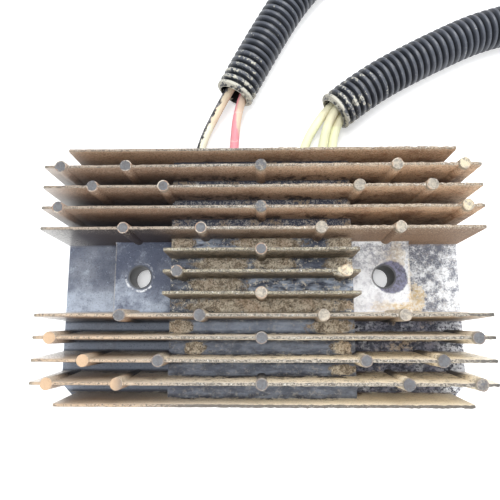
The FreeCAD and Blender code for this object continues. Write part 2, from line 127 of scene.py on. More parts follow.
def roughness_at(x, y, z, size, seed=0.0):
    """Soft noise from -1 to 1 at each point, its lumps about one size across."""
    x, y, z = np.broadcast_arrays(x, y, z)
    points = np.stack([x / size + seed, y / size, z / size], -1).reshape(-1, 3)
    values = [noise.noise(Vector(point)) for point in points]
    return np.array(values).reshape(x.shape)


def grid_form(points, closed=False):
    """A grid of points as vertices and the quads between them, its columns joined up if closed."""
    rows, columns = points.shape[:2]
    index = np.arange(rows * columns).reshape(rows, columns)
    if closed:
        index = np.hstack([index, index[:, :1]])
    quads = np.stack([index[:-1, :-1], index[:-1, 1:], index[1:, 1:], index[1:, :-1]], -1)
    return points.reshape(-1, 3), [tuple(quad) for quad in quads.reshape(-1, 4)]


def prism_form(low_outline, high_outline, low, high):
    """A solid between two outlines of as many points, the second above the first."""
    count = len(low_outline)
    vertices = [(x, y, low) for x, y in low_outline] + [(x, y, high) for x, y in high_outline]
    sides = [(i, (i + 1) % count, count + (i + 1) % count, count + i) for i in range(count)]
    return vertices, [tuple(reversed(range(count)))] + sides + [tuple(range(count, 2 * count))]


def piece_of(name, forms, finishes=None):
    """One object from several forms, each with its own finish if given, shaded soft up to sharp corners."""
    vertices = []
    faces = []
    slots = []
    for number, (form_vertices, form_faces) in enumerate(forms):
        start = len(vertices)
        vertices.extend(tuple(float(value) for value in vertex) for vertex in form_vertices)
        faces.extend(tuple(int(corner) + start for corner in face) for face in form_faces)
        slots.extend([finishes[number] if finishes else 0] * len(form_faces))
    mesh = bpy.data.meshes.new(name)
    mesh.from_pydata(vertices, [], faces)
    mesh.polygons.foreach_set("material_index", slots)
    mesh.update()
    piece = bpy.data.objects.new(name, mesh)
    bpy.context.scene.collection.objects.link(piece)
    soften(mesh)
    return piece


def soften(mesh, angle=38):
    mesh.shade_smooth()
    mesh.set_sharp_from_angle(angle=math.radians(angle))


def settled(piece):
    """Applies the piece's modifiers to its mesh."""
    graph = bpy.context.evaluated_depsgraph_get()
    mesh = bpy.data.meshes.new_from_object(piece.evaluated_get(graph))
    piece.modifiers.clear()
    piece.data = mesh
    return piece


def combined(piece, tools, operation):
    """Joins or cuts the piece with each tool, which is then thrown away."""
    for tool in tools:
        joint = piece.modifiers.new("join", "BOOLEAN")
        joint.object = tool
        joint.operation = operation
        joint.solver = "EXACT"
    settled(piece)
    for tool in tools:
        bpy.data.objects.remove(tool)
    return piece


def rectangle(half_x, half_y):
    return [(-half_x, -half_y), (half_x, -half_y), (half_x, half_y), (-half_x, half_y)]


def circle_outline(x, y, radius, count=64):
    turns = [2 * math.pi * number / count for number in range(count)]
    return [(x + radius * math.cos(turn), y + radius * math.sin(turn)) for turn in turns]


def rounded_rectangle(half_x, half_y, radius, steps=8):
    outline = []
    for quarter, (sign_x, sign_y) in enumerate([(1, 1), (-1, 1), (-1, -1), (1, -1)]):
        for step in range(steps + 1):
            turn = math.pi / 2 * (quarter + step / steps)
            x = sign_x * (half_x - radius) + radius * math.cos(turn)
            y = sign_y * (half_y - radius) + radius * math.sin(turn)
            outline.append((x, y))
    return outline


def base_piece():
    """The stepped base with its bolt holes, its cavity and the wires' notches, corners softened."""
    corner_x = half_length - CORNER_CHAMFER
    corner_y = half_width - CORNER_CHAMFER
    plate = [
        (corner_x, half_width),
        (-corner_x, half_width),
        (-half_length, corner_y),
        (-half_length, -corner_y),
        (-corner_x, -half_width),
        (corner_x, -half_width),
        (half_length, -corner_y),
        (half_length, corner_y),
    ]
    outer_row = MIDDLE_ROW * FIN_PITCH
    bay = BAY_ROW * FIN_PITCH
    base = piece_of("base", [prism_form(plate, plate, 0, FLANGE_LEVEL)])
    platform_foot = rectangle(HALF_PLATFORM + STEP_DRAFT, outer_row)
    platform = prism_form(platform_foot, rectangle(HALF_PLATFORM, outer_row), 0, PLATFORM_LEVEL)
    pads_foot = rectangle(PAD_REACH + STEP_DRAFT, bay)
    pads = prism_form(pads_foot, rectangle(PAD_REACH, bay), 0, PAD_LEVEL)
    combined(base, [piece_of("platform", [platform]), piece_of("pads", [pads])], "UNION")
    cuts = []
    for column in (-BOLT_COLUMN, BOLT_COLUMN):
        hole = circle_outline(column, 0, BOLT_HOLE_RADIUS)
        cuts.append(piece_of("hole", [prism_form(hole, hole, -MM, full_tip)]))
    cavity = rounded_rectangle(
        HALF_PLATFORM - CAVITY_SIDE_WALL, half_width - CAVITY_END_WALL, CAVITY_CORNER_RADIUS
    )
    cuts.append(piece_of("cavity", [prism_form(cavity, cavity, -MM, CAVITY_DEPTH)]))
    notch_radius = WIRE_DIAMETER / 2 + NOTCH_CLEARANCE
    for column in WIRE_EXITS.values():
        arch = circle_outline(0, 0, notch_radius, 24)
        arch = [(x, max(y, 0)) for x, y in arch if y > -0.01 * MM]
        arch += [(-notch_radius, -NOTCH_THROAT), (notch_radius, -NOTCH_THROAT)]
        notch = piece_of("notch", [prism_form(arch, arch, half_width - 2 * CAVITY_END_WALL, half_width + MM)])
        stand = Matrix.Rotation(math.radians(90), 4, "X") @ Matrix.Scale(-1, 4, (0, 0, 1))
        notch.data.transform(Matrix.Translation((column * MM, 0, WIRE_EXIT_HEIGHT)) @ stand)
        notch.data.flip_normals()
        cuts.append(notch)
    combined(base, cuts, "DIFFERENCE")
    edges = base.modifiers.new("soft edges", "BEVEL")
    edges.width = EDGE_SOFTNESS
    edges.segments = 2
    edges.limit_method = "ANGLE"
    edges.angle_limit = math.radians(50)
    settled(base)
    soften(base.data)
    return base


def fin_form(row):
    """One fin as a grid of stations along it by points round its section, with a worn, nicked tip."""
    tip = tip_of(row)
    reach = reach_of(row)
    quarter = np.linspace(0, math.pi / 2, 6)[:-1]
    straight = reach - FIN_CORNER_RADIUS
    inner = np.linspace(-straight, straight, int(2 * reach / FIN_STATION_PITCH))
    rounded = -reach + FIN_CORNER_RADIUS * (1 - np.cos(quarter))
    stations = np.concatenate([rounded, inner, -rounded[::-1]])
    fall = 1 - np.sin(quarter)
    drop = FIN_CORNER_RADIUS * np.concatenate([fall, np.zeros(len(inner)), fall[::-1]])
    edge = FIN_TIP_THICKNESS * TIP_ROUNDING
    climb = np.array([0.0, 0.3, 0.58, 0.78, 0.90, 0.96])
    turns = np.radians([0, 25, 50, 75])
    foot = FLANGE_LEVEL - FIN_SINK
    side_heights = foot + (tip - edge - foot) * climb
    arc_heights = tip - edge + edge * np.sin(turns)
    arc_inset = edge * (1 - np.cos(turns))
    heights = np.concatenate([side_heights, arc_heights])
    widths = np.concatenate([half_thickness(row, side_heights), half_thickness(row, arc_heights) - arc_inset])
    heights = np.concatenate([heights, heights[::-1]])
    sides = np.concatenate([-widths, widths[::-1]])
    x, z = np.meshgrid(stations, heights, indexing="ij")
    y = np.broadcast_to(row * FIN_PITCH + sides, x.shape).copy()
    share = (z - foot) / (tip - foot)
    z = foot + share * (tip - drop[:, None] - foot)
    chance = random.Random(row + 20)
    wear = TIP_WEAR * (roughness_at(x, row, 0.0, 1.6 * MM) + 0.5) * (share > 0.97)
    for _ in range(int(reach / NICK_SPACING)):
        place = chance.uniform(-reach, reach)
        depth = chance.uniform(0.1, 0.45) * MM
        wide = chance.uniform(0.4, 1.1) * MM
        wear = wear + depth * np.exp(-(((x - place) / wide) ** 2)) * (share > 0.93)
    z = z - wear
    bend = FIN_BEND * roughness_at(x, row, z, 24 * MM) * share
    skin = SKIN_DEPTH * roughness_at(x, y, z, 2.4 * MM, 3.0)
    caked = np.clip((x + 30 * MM) / (40 * MM), 0.15, 1.0) * (share > 0.9)
    scab = SCAB_DEPTH * caked * roughness_at(x, y * 2, z, 1.1 * MM, 9.0)
    y = y + bend + skin + scab
    points = np.stack([x, y, z], -1)
    vertices, faces = grid_form(points)
    count = points.shape[1]
    last = (len(stations) - 1) * count
    caps = [tuple(range(count))[::-1], tuple(range(last, last + count))]
    return vertices, faces + caps


def pin_form(column, row):
    """An ejector pin: a slightly tapered post with a worn rim round a shallow dish."""
    top = tip_of(row) + PIN_RISE
    steps = [
        (FLANGE_LEVEL - PIN_SINK, 0.30),
        (top * 0.5, 0.17),
        (top * 0.8, 0.07),
        (top - 0.25 * MM, 0.0),
        (top - 0.06 * MM, -0.03),
        (top, -0.10),
        (top - 0.01 * MM, -0.30),
        (top - 0.07 * MM, -0.42),
        (top - 0.09 * MM, -1.0),
        (top - 0.10 * MM, -1.74),
    ]
    turns = np.linspace(0, 2 * math.pi, 28, endpoint=False)
    crusted = 0.03 + 0.07 * max(0.0, min(1.0, column / (25 * MM)))
    rings = []
    for height, grow in steps:
        radius = PIN_RADIUS + grow * MM
        round_x = column + radius * np.cos(turns)
        lumps = 1 + crusted * roughness_at(round_x, row * FIN_PITCH, height, 1.2 * MM, 7.0)
        ring_x = column + radius * lumps * np.cos(turns)
        ring_y = row * FIN_PITCH + radius * lumps * np.sin(turns)
        rings.append(np.stack([ring_x, ring_y, np.full(len(turns), height)], -1))
    return grid_form(np.stack(rings), closed=True)


def dirt_lump_form(centre, size):
    """A knobbly lump of sandy dirt caked round a pin and its fin's tip."""
    around = np.linspace(0, 2 * math.pi, 24, endpoint=False)[None, :]
    upward = np.linspace(-math.pi / 2, math.pi / 2, 15)[:, None]
    x = np.cos(upward) * np.cos(around)
    y = np.cos(upward) * np.sin(around)
    z = np.sin(upward) + 0 * around
    swell = 1 + 0.45 * roughness_at(x, y, z, 0.55, 4.0)
    spot = [middle + half * swell * way for middle, half, way in zip(centre, size, (x, y, z))]
    return grid_form(np.stack(spot, -1), closed=True)


def crust_height(x, y, z):
    """How high the caked dirt and corrosion stand at each point."""
    amount = dirt_depth(x, y)
    lumps = roughness_at(x, y, z, 3.2 * MM, 11.0) + 0.6 * roughness_at(x, y, z, 1.3 * MM, 5.0)
    return amount * np.clip(lumps + 0.35, 0.0, 1.2) + 0.02 * MM


# Where sand lies on the platform: the middle and the half sizes of each patch, in millimetres
SAND_PATCHES = [
    (-25, 10, 4, 2), (2, 10, 10, 2), (24, 10, 4, 2),
    (-12.5, 3.5, 8.5, 2.2), (4, 3.5, 7, 2), (24, 3.5, 4, 2.2),
    (-13.5, -3, 9, 2.2), (2, -9.2, 27, 2.4),
    (-24.5, -15.7, 4, 2.2), (21, -15.7, 6.5, 2.2),
    (-20, -22, 3.2, 2), (24, -22, 3, 2), (24, -28.3, 4, 1.5),
]


def dirt_depth(x, y):
    """Dirt is caked where the sand lies, thinner on the rest of the right side and scarce on the left."""
    to_right = np.clip((x - 20 * MM) / (20 * MM), 0, 1)
    to_north = np.clip((y - 12 * MM) / (4 * MM), 0, 1)
    share = 0.1 + 0.5 * to_right + 0.5 * to_north
    for patch_x, patch_y, half_x, half_y in SAND_PATCHES:
        reach = np.hypot((x / MM - patch_x) / half_x, (y / MM - patch_y) / half_y)
        share = np.maximum(share, np.clip(1.6 - reach, 0, 1))
    return share * 0.4 * MM


def spaced_along(path, pitch):
    """The path's points with others between them, about a pitch apart, as a column of X and one of Z."""
    spaced = []
    for (x0, z0), (x1, z1) in zip(path, path[1:]):
        count = max(1, round(math.hypot(x1 - x0, z1 - z0) / pitch))
        for step in range(count):
            spaced.append((x0 + (x1 - x0) * step / count, z0 + (z1 - z0) * step / count))
    spaced.append(path[-1])
    x, z = np.array(spaced).T
    return x[:, None], z[:, None]


def fillet_height(gap):
    """How high the fillet at a fin's root stands, so far from the fin's face."""
    return FILLET_HEIGHT * np.clip(1 - gap / FILLET_WIDTH, 0, 1) ** 2


def floor_strip(row, path, columns=11):
    """The floor between two fins along a path of points in X and Z, with a fillet at each fin's root."""
    x, z = spaced_along(path, FLOOR_POINT_PITCH)
    next_row = row + 1
    low = row * FIN_PITCH + half_thickness(row, z) - ROOT_OVERLAP
    high = next_row * FIN_PITCH - half_thickness(next_row, z) + ROOT_OVERLAP
    across = 0.5 - 0.5 * np.cos(np.linspace(0, math.pi, columns))[None, :]
    y = low + (high - low) * across
    gap = np.minimum(y - low, high - y)
    x, z = np.broadcast_arrays(x, z + 0 * y)
    z = z + fillet_height(gap) + crust_height(x, y, z)
    return grid_form(np.stack([x, y, z], -1))


def step_path(inner, outer, inner_level, outer_level):
    """Down one step from an inner level to an outer one, rounded at its top and its foot."""
    soft = EDGE_SOFTNESS
    return [
        (inner - 2 * soft, inner_level),
        (inner - soft * 0.3, inner_level - soft * 0.3),
        (inner, inner_level - soft),
        (outer, outer_level + 2 * soft),
        (outer + soft * 0.4, outer_level + 0.6 * soft),
        (outer + 1.6 * soft, outer_level),
    ]


def mirrored(path):
    return [(-x, z) for x, z in reversed(path)] + path


def pad_form(side):
    """A pad's top as rings from the bolt hole out to the bay's walls, with a scuffed bearing ring."""
    low_x = HALF_PLATFORM + 0.15 * MM
    high_x = PAD_REACH - 0.05 * MM
    wall = BAY_ROW * FIN_PITCH - half_thickness(BAY_ROW, PAD_LEVEL) + ROOT_OVERLAP
    turns = np.linspace(0, 2 * math.pi, 160, endpoint=False)
    cosine = np.cos(turns)
    sine = np.sin(turns)
    to_high_x = (high_x - BOLT_COLUMN) / np.maximum(cosine, 1e-6)
    to_low_x = (low_x - BOLT_COLUMN) / np.minimum(cosine, -1e-6)
    to_x = np.where(cosine > 0, to_high_x, to_low_x)
    to_y = wall / np.maximum(np.abs(sine), 1e-6)
    edge = np.minimum(to_x, to_y)
    shares = np.concatenate([[0.0, 0.0, 0.02], np.linspace(0.06, 1, 20)])
    radius = BOLT_HOLE_RADIUS + (edge[None, :] - BOLT_HOLE_RADIUS) * shares[:, None]
    x = side * (BOLT_COLUMN + radius * cosine)
    y = radius * sine
    worn = np.clip((radius - BOLT_HOLE_RADIUS) / (2.2 * MM), 0, 1)
    fillet = fillet_height(wall - np.abs(y))
    z = PAD_LEVEL + fillet + worn * crust_height(x, y, PAD_LEVEL) + 0.02 * MM
    z[0] = PAD_LEVEL - 0.7 * MM
    z[1] = PAD_LEVEL - 0.12 * MM
    return grid_form(np.stack([x, y, z], -1), closed=True)


def bay_edge_form(side):
    """The flange beyond a pad, from the pad's outer step to the casting's end."""
    path = step_path(PAD_REACH, PAD_REACH + STEP_DRAFT, PAD_LEVEL, FLANGE_LEVEL)
    path.append((half_length - FLOOR_END_GAP, FLANGE_LEVEL))
    x, z = spaced_along(path, BAY_EDGE_POINT_PITCH)
    wall = BAY_ROW * FIN_PITCH - half_thickness(BAY_ROW, z) + ROOT_OVERLAP
    y = wall * np.linspace(-1, 1, 40)[None, :]
    fillet = fillet_height(wall - np.abs(y))
    x, z = np.broadcast_arrays(side * x, z + 0 * y)
    z = z + fillet + crust_height(x, y, z)
    return grid_form(np.stack([x, y, z], -1))


def heat_sink_piece():
    base = base_piece()
    base_vertices = [tuple(vertex.co) for vertex in base.data.vertices]
    base_faces = [tuple(face.vertices) for face in base.data.polygons]
    forms = [(base_vertices, base_faces)]
    bpy.data.objects.remove(base)
    pins = []
    for row in range(-MIDDLE_ROW, MIDDLE_ROW + 1):
        forms.append(fin_form(row))
        for share in PIN_SHARES.get(abs(row), []):
            for sign in sorted({-1 if share else 1, 1}):
                pins.append(pin_form(sign * share * reach_of(row), row))
    for row in range(-MIDDLE_ROW, MIDDLE_ROW):
        if -BAY_ROW <= row < BAY_ROW:
            end = HALF_PLATFORM - 0.1 * MM
            forms.append(floor_strip(row, [(-end, PLATFORM_LEVEL), (end, PLATFORM_LEVEL)]))
        else:
            end = half_length - (FLOOR_END_GAP if abs(row + 0.5) < MIDDLE_ROW - 1 else CORNER_END_GAP)
            down = step_path(HALF_PLATFORM, HALF_PLATFORM + STEP_DRAFT, PLATFORM_LEVEL, FLANGE_LEVEL)
            forms.append(floor_strip(row, mirrored(down + [(end, FLANGE_LEVEL)])))
    for side in (-1, 1):
        forms.append(pad_form(side))
        forms.append(bay_edge_form(side))
    pins.append(dirt_lump_form(LUMP_CENTRE, LUMP_HALF_SIZE))
    return piece_of("cast_heat_sink", forms + pins, [0] * len(forms) + [1] * len(pins))


# What wear and dirt push out past the solid's box is pressed back to it
heat_sink = heat_sink_piece()
corners = np.array([vertex.co for vertex in heat_sink.data.vertices])
corners = np.clip(corners, np.array(sink_low), np.array(sink_high))
heat_sink.data.vertices.foreach_set("co", corners.astype(np.float32).ravel())
heat_sink.data.update()
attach(heat_sink, "root")
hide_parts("heat_sink")


class Socket:
    """A socket of a finish. Arithmetic on it adds Math nodes to the finish."""

    def __init__(self, finish, socket):
        self.finish = finish
        self.socket = socket

    def math(self, operation, *values):
        return self.finish.node("ShaderNodeMath", {"operation": operation}, dict(enumerate(values)))

    def __add__(self, other):
        return self.math("ADD", self, other)

    def __sub__(self, other):
        return self.math("SUBTRACT", self, other)

    def __mul__(self, other):
        return self.math("MULTIPLY", self, other)

    def __truediv__(self, other):
        return self.math("DIVIDE", self, other)

    def __rsub__(self, other):
        return self.math("SUBTRACT", other, self)

    def __abs__(self):
        return self.math("ABSOLUTE", self)

    def folded(self, span):
        """Runs to and fro between 0 and the span."""
        return self.math("PINGPONG", self, span)

    def above(self, low, high):
        """Rises from 0 at low to 1 at high, and falls if high is the lower of the two."""
        settings = {"interpolation_type": "SMOOTHSTEP"}
        if low < high:
            inputs = {"Value": self, "From Min": low, "From Max": high}
            return self.finish.node("ShaderNodeMapRange", settings, inputs)
        return 1 - self.above(high, low)

    __radd__ = __add__
    __rmul__ = __mul__


class Finish:
    """A material of the object, built on one Principled shader, with sizes in millimetres."""

    def __init__(self, name, **constants):
        self.material = bpy.data.materials.new(name)
        self.material.use_nodes = True
        self.tree = self.material.node_tree
        self.shader = self.tree.nodes["Principled BSDF"]
        for socket, value in constants.items():
            self.shader.inputs[socket.replace("_", " ")].default_value = value
        place = self.node("ShaderNodeTexCoord", {}, {}, "Object")
        self.place = self.node("ShaderNodeVectorMath", {"operation": "SCALE"}, {0: place, "Scale": 1 / MM})
        self.x = self.node("ShaderNodeSeparateXYZ", {}, {0: self.place}, "X")
        self.y = self.node("ShaderNodeSeparateXYZ", {}, {0: self.place}, "Y")
        self.z = self.node("ShaderNodeSeparateXYZ", {}, {0: self.place}, "Z")

    def node(self, kind, settings, inputs, output=0):
        """Adds a node: its settings first, then the values or links of its sockets."""
        made = self.tree.nodes.new(kind)
        for setting, value in settings.items():
            setattr(made, setting, value)
        for key, value in inputs.items():
            if isinstance(value, Socket):
                self.tree.links.new(value.socket, made.inputs[key])
            else:
                made.inputs[key].default_value = value
        return Socket(self, made.outputs[output])

    def grain(self, size, detail=3.0, rough=0.55, stretch=(1, 1, 1), shift=0.0):
        """Noise from 0 to 1 whose lumps are about so many millimetres across."""
        place = self.place
        if stretch != (1, 1, 1) or shift:
            place = self.node("ShaderNodeMapping", {}, {0: place, "Location": (shift,) * 3, "Scale": stretch})
        inputs = {"Vector": place, "Scale": 1 / size, "Detail": detail, "Roughness": rough}
        return self.node("ShaderNodeTexNoise", {}, inputs)

    def distance(self, point, place=None):
        """How far each place is from a point, in millimetres."""
        inputs = {0: place or self.place, 1: point}
        return self.node("ShaderNodeVectorMath", {"operation": "DISTANCE"}, inputs, 1)

    def mixed(self, mask, first, second):
        """The first colour where the mask is 0 and the second where it is 1."""
        first = (*first, 1) if isinstance(first, tuple) else first
        second = (*second, 1) if isinstance(second, tuple) else second
        return self.node("ShaderNodeMix", {"data_type": "RGBA"}, {0: mask, 6: first, 7: second}, 2)

    def feed(self, socket, value):
        self.tree.links.new(value.socket, self.shader.inputs[socket])

    def bump(self, height, depth, strength=1.0):
        """Relief of so many millimetres."""
        inputs = {"Height": height, "Distance": depth * MM, "Strength": strength}
        self.feed("Normal", self.node("ShaderNodeBump", {}, inputs))


# Weathered finish of the casting. A thin dark coat has worn to bronze on the fins, the tips are rubbed
# bare, sandy dirt is caked over the platform, and the right pad has white corrosion. The ejector pins
# keep bare grey heads, stained tan where the dirt or the rust has run.
def spot_mask(metal, spots, ragged):
    """1 on the spots, each given by its centre and half sizes, with an edge broken up by noise."""
    nearest = 9.0
    for x, y, half_x, half_y in spots:
        inputs = {0: metal.place, "Location": (x, y, 0), "Scale": (half_x, half_y, 1000)}
        offset = metal.node("ShaderNodeMapping", {"vector_type": "TEXTURE"}, inputs)
        reach = metal.node("ShaderNodeVectorMath", {"operation": "LENGTH"}, {0: offset}, 1)
        nearest = reach.math("MINIMUM", reach, nearest)
    return (nearest + ragged).above(2.00, 1.75)


LEFT_BOLT = (-BOLT_COLUMN / MM, 0, PAD_LEVEL / MM)
BOLT_AXIS = (BOLT_COLUMN / MM, 0, 0)
BRONZE_LEFT = (0.430, 0.300, 0.215)
BRONZE_RIGHT = (0.725, 0.525, 0.355)
BRONZE_OUTER = (0.560, 0.400, 0.270)
RUST_SPECK = (0.480, 0.240, 0.140)
RUST_SHADE = (0.300, 0.170, 0.105)
CREAM_SPECK = (0.750, 0.660, 0.540)
# Colour of painted shade at the fins' roots, also used for the outer sides' darker foot
ROOT_SHADE = (0.082, 0.082, 0.095)
BLACK_STAIN = (0.028, 0.027, 0.030)
# Stain colour of the pitted crust, also painted as shade on the lower fins' south faces
FACE_STAIN_AND_SHADE = (0.230, 0.185, 0.135)
SHORT_FIN_OLIVE = (0.098, 0.084, 0.056)
SHORT_FIN_TAN = (0.260, 0.200, 0.130)
HOLE_WALL = (0.095, 0.098, 0.100)
OUTSIDE_BRONZE = (0.250, 0.175, 0.120)
BAY_WALL_LEFT = (0.044, 0.030, 0.026)
BAY_WALL_RIGHT = (0.255, 0.155, 0.090)
CRUST_TAN = (0.960, 0.860, 0.690)
LEFT_TAN = (0.610, 0.495, 0.375)
# Painted reflection of the white table on the fins' ends past the plate
TABLE_REFLECTION_WHITE = (0.900, 0.880, 0.850)
ORANGE_TAN = (0.550, 0.390, 0.255)


def outer_side_colour(metal):
    """The casting's two long outer sides: dull bronze with dark blotches, rust and a ragged darker band at
    the foot.
    """
    blotches = (metal.coarse * 0.6 + metal.medium * 0.4).above(0.46, 0.56)
    weathered = metal.mixed(blotches * 0.65, OUTSIDE_BRONZE, BLACK_STAIN)
    weathered = metal.mixed(metal.medium.above(0.50, 0.60) * 0.55, weathered, RUST_SHADE)
    weathered = metal.mixed(metal.fine.above(0.53, 0.62) * 0.45, weathered, CREAM_SPECK)
    # The sides darken toward the foot, with a ragged edge, in the root shade's colour
    darker_foot = (metal.z + (metal.medium - 0.5) * 16.0).above(9.0, 3.0)
    return metal.mixed(darker_foot * 0.6, weathered, ROOT_SHADE)


def fin_face_colour(metal):
    """Bronze, redder to the right, with painted shade toward the root and tan dirt caked over the lower fins.
    """
    right_side = metal.right_side
    outer = metal.off_axis.above(34.0, 35.5)
    height = metal.z + outer * OUTER_FIN_LOWER / MM
    bare = metal.mixed(right_side, BRONZE_LEFT, BRONZE_RIGHT)
    bare = metal.mixed(outer * 0.9, bare, BRONZE_OUTER)
    bare = metal.mixed(metal.medium.above(0.50, 0.66) * (0.25 + right_side * 0.3), bare, RUST_SPECK)
    bare = metal.mixed(metal.coarse.above(0.50, 0.66) * (0.15 + right_side * 0.45), bare, RUST_SHADE)
    # Painted shade: the faces darken toward the root, where the fins shade each other
    painted_root_shade = (height + metal.medium * 6.0).above(26.0, 10.0)
    shaded = metal.mixed(painted_root_shade * (0.86 - right_side * 0.38 - outer * 0.30), bare, ROOT_SHADE)
    middle = abs(metal.x).above(34.0, 22.0)
    stain = (metal.coarse * 0.5 + metal.medium * 0.5).above(0.48, 0.55) * height.above(23.0, 15.0)
    shaded = metal.mixed(stain * (0.35 + middle * 0.6), shaded, BLACK_STAIN)
    olive = metal.mixed(metal.medium.above(0.45, 0.58), SHORT_FIN_OLIVE, SHORT_FIN_TAN)
    shaded = metal.mixed(metal.short_fins * 0.9, shaded, olive)

    wall_of_bay = metal.mixed(right_side, BAY_WALL_LEFT, BAY_WALL_RIGHT)
    behind_bay = metal.y.above(10.0, 10.6) * metal.y.above(13.6, 13.0) * metal.northward.above(0.0, -0.3)
    shaded = metal.mixed(behind_bay * (1 - middle * 0.6), shaded, wall_of_bay)

    lower_left = metal.x.above(-22.0, -52.0)
    crust = metal.mixed(lower_left, CRUST_TAN, LEFT_TAN)
    pitted = (metal.fine * 0.4 + metal.medium * 0.6).above(0.48, 0.43)
    pitted = pitted * (0.7 - lower_left * 0.6) * (1 - outer * 0.8)
    crust = metal.mixed(pitted, crust, FACE_STAIN_AND_SHADE)
    ragged = (metal.medium - 0.5) * 20.0 + (metal.coarse - 0.5) * 16.0
    above_floor = metal.z - FLANGE_LEVEL / MM - middle * (PLATFORM_LEVEL - FLANGE_LEVEL) / MM
    crust_reach = above_floor + ragged * (0.8 - outer * 0.3) + (metal.gritty - 0.5) * 6.0 + outer * 1.2
    under_crust = metal.mixed(0.45 + middle * 0.5, BRONZE_LEFT, BLACK_STAIN)
    caked = metal.mixed(crust_reach.above(1.1, 3.4), under_crust, crust)
    lower_fins = metal.y.above(-8.0, -14.0)
    # Painted shade: the lower fins' south faces are darkened toward the stain colour
    shaded = metal.mixed(lower_fins * metal.x.above(-40.0, -10.0) * 0.65, shaded, FACE_STAIN_AND_SHADE)
    cleaner = metal.y.above(-14.5, -13.5) + metal.x.above(12.0, -28.0)
    face = metal.mixed(lower_fins * (1 - cleaner * metal.northward.above(0.0, -0.3)), shaded, caked)
    speckled = metal.fine.above(0.54, 0.66) * (height.above(18.0, 26.0) * 0.65 + right_side * 0.18)
    face = metal.mixed(speckled, face, CREAM_SPECK)
    rubbed = metal.gritty.above(0.46, 0.58) * height.above(24.3, 26.3) * metal.x.above(-40.0, -10.0)
    face = metal.mixed(rubbed * 0.5, face, CREAM_SPECK)
    face = metal.mixed(metal.fine.above(0.50, 0.38) * (0.45 - lower_fins * 0.25), face, BLACK_STAIN)
    # Painted reflection: the fins' ends past the plate, and the lower fins' right ends, are paled toward the
    # white table
    table_reflection = metal.x.above(-53.0, -66.0) + metal.x.above(54.0, 68.0) * metal.y.above(-12.0, -16.0) * 0.7
    face = metal.mixed(table_reflection * 0.6, face, TABLE_REFLECTION_WHITE)
    face = metal.mixed(metal.off_axis.above(37.35, 37.75), face, outer_side_colour(metal))
    return metal.mixed(metal.from_bolt_axis.above(3.75, 3.6), face, HOLE_WALL)


TIP_CREAM = (0.450, 0.400, 0.330)
TIP_ORANGE = (0.330, 0.250, 0.185)
TIP_DARK = (0.085, 0.075, 0.068)
TIP_KHAKI = (0.380, 0.340, 0.240)
TIP_TAN = (0.560, 0.440, 0.320)
TIP_END = (0.130, 0.135, 0.120)
TIP_BROWN = (0.190, 0.145, 0.110)
TIP_WHITE = (0.740, 0.720, 0.660)


def fin_tip_colour(metal):
    """Rubbed cream metal with dark pits, khaki on the short fins and orange at the lower left."""
    plain = metal.mixed(metal.short_fins * 0.85, TIP_CREAM, TIP_KHAKI)
    upper_right = metal.x.above(-10.0, 20.0) * metal.y.above(6.0, 9.0)
    corner = metal.y.above(-9.0, -14.0) * metal.x.above(-12.0, -46.0)
    plain = metal.mixed(corner * 0.8, plain, ORANGE_TAN)
    smooth_left = metal.x.above(-16.0, -34.0)
    plain = metal.mixed(smooth_left * metal.y.above(6.0, 9.0) * 0.7, plain, TIP_ORANGE)
    plain = metal.mixed(upper_right * 0.6, plain, TIP_TAN)
    plain = metal.mixed(metal.gritty.above(0.54, 0.62) * (1 - smooth_left * 0.8), plain, TIP_WHITE)
    far_right = metal.x.above(53.0, 61.0) * metal.y.above(-9.0, -14.0)
    far_end = abs(metal.x).above(62.5, 63.3)
    plain = metal.mixed(far_right * 0.45 + far_end * 0.5, plain, TIP_END)
    bottom = metal.y.above(-34.0, -36.0)
    dull = bottom * (0.09 - smooth_left * 0.09) + far_right * 0.04 - smooth_left * 0.035
    grit = metal.fine * 0.6 + metal.gritty * 0.2 + metal.medium * 0.2
    pit_colour = metal.mixed(upper_right, TIP_DARK, TIP_BROWN)
    return metal.mixed((grit + dull).above(0.46, 0.53) * 0.85, plain, pit_colour)


PIN_METAL = (0.165, 0.170, 0.182)
PIN_STAIN = (0.110, 0.100, 0.100)
PIN_TAN = (0.560, 0.490, 0.390)
PIN_RIM = (0.700, 0.620, 0.510)
PIN_RUST = (0.420, 0.270, 0.180)
PIN_CRUST = (0.680, 0.600, 0.430)
PIN_ORANGE = (0.590, 0.405, 0.255)
PIN_EDGE = (0.330, 0.285, 0.215)
CAKED_PINS = [(59, 31, 3, 3), (59, 18.6, 3, 3), (22.9, -0.3, 4, 3.5)]
DUSTY_PINS = [(0, 31, 2.5, 2.5), (0, 18.6, 2.5, 2.5), (39.7, -24.8, 2.5, 2.5), (59, -31, 2.5, 2.5)]
TAN_PINS = [(0, -6.2, 2.5, 2.5), (17.3, -12.4, 2.5, 2.5), (39.7, -12.4, 2.5, 2.5), (23.9, 0, 3.0, 3.0)]


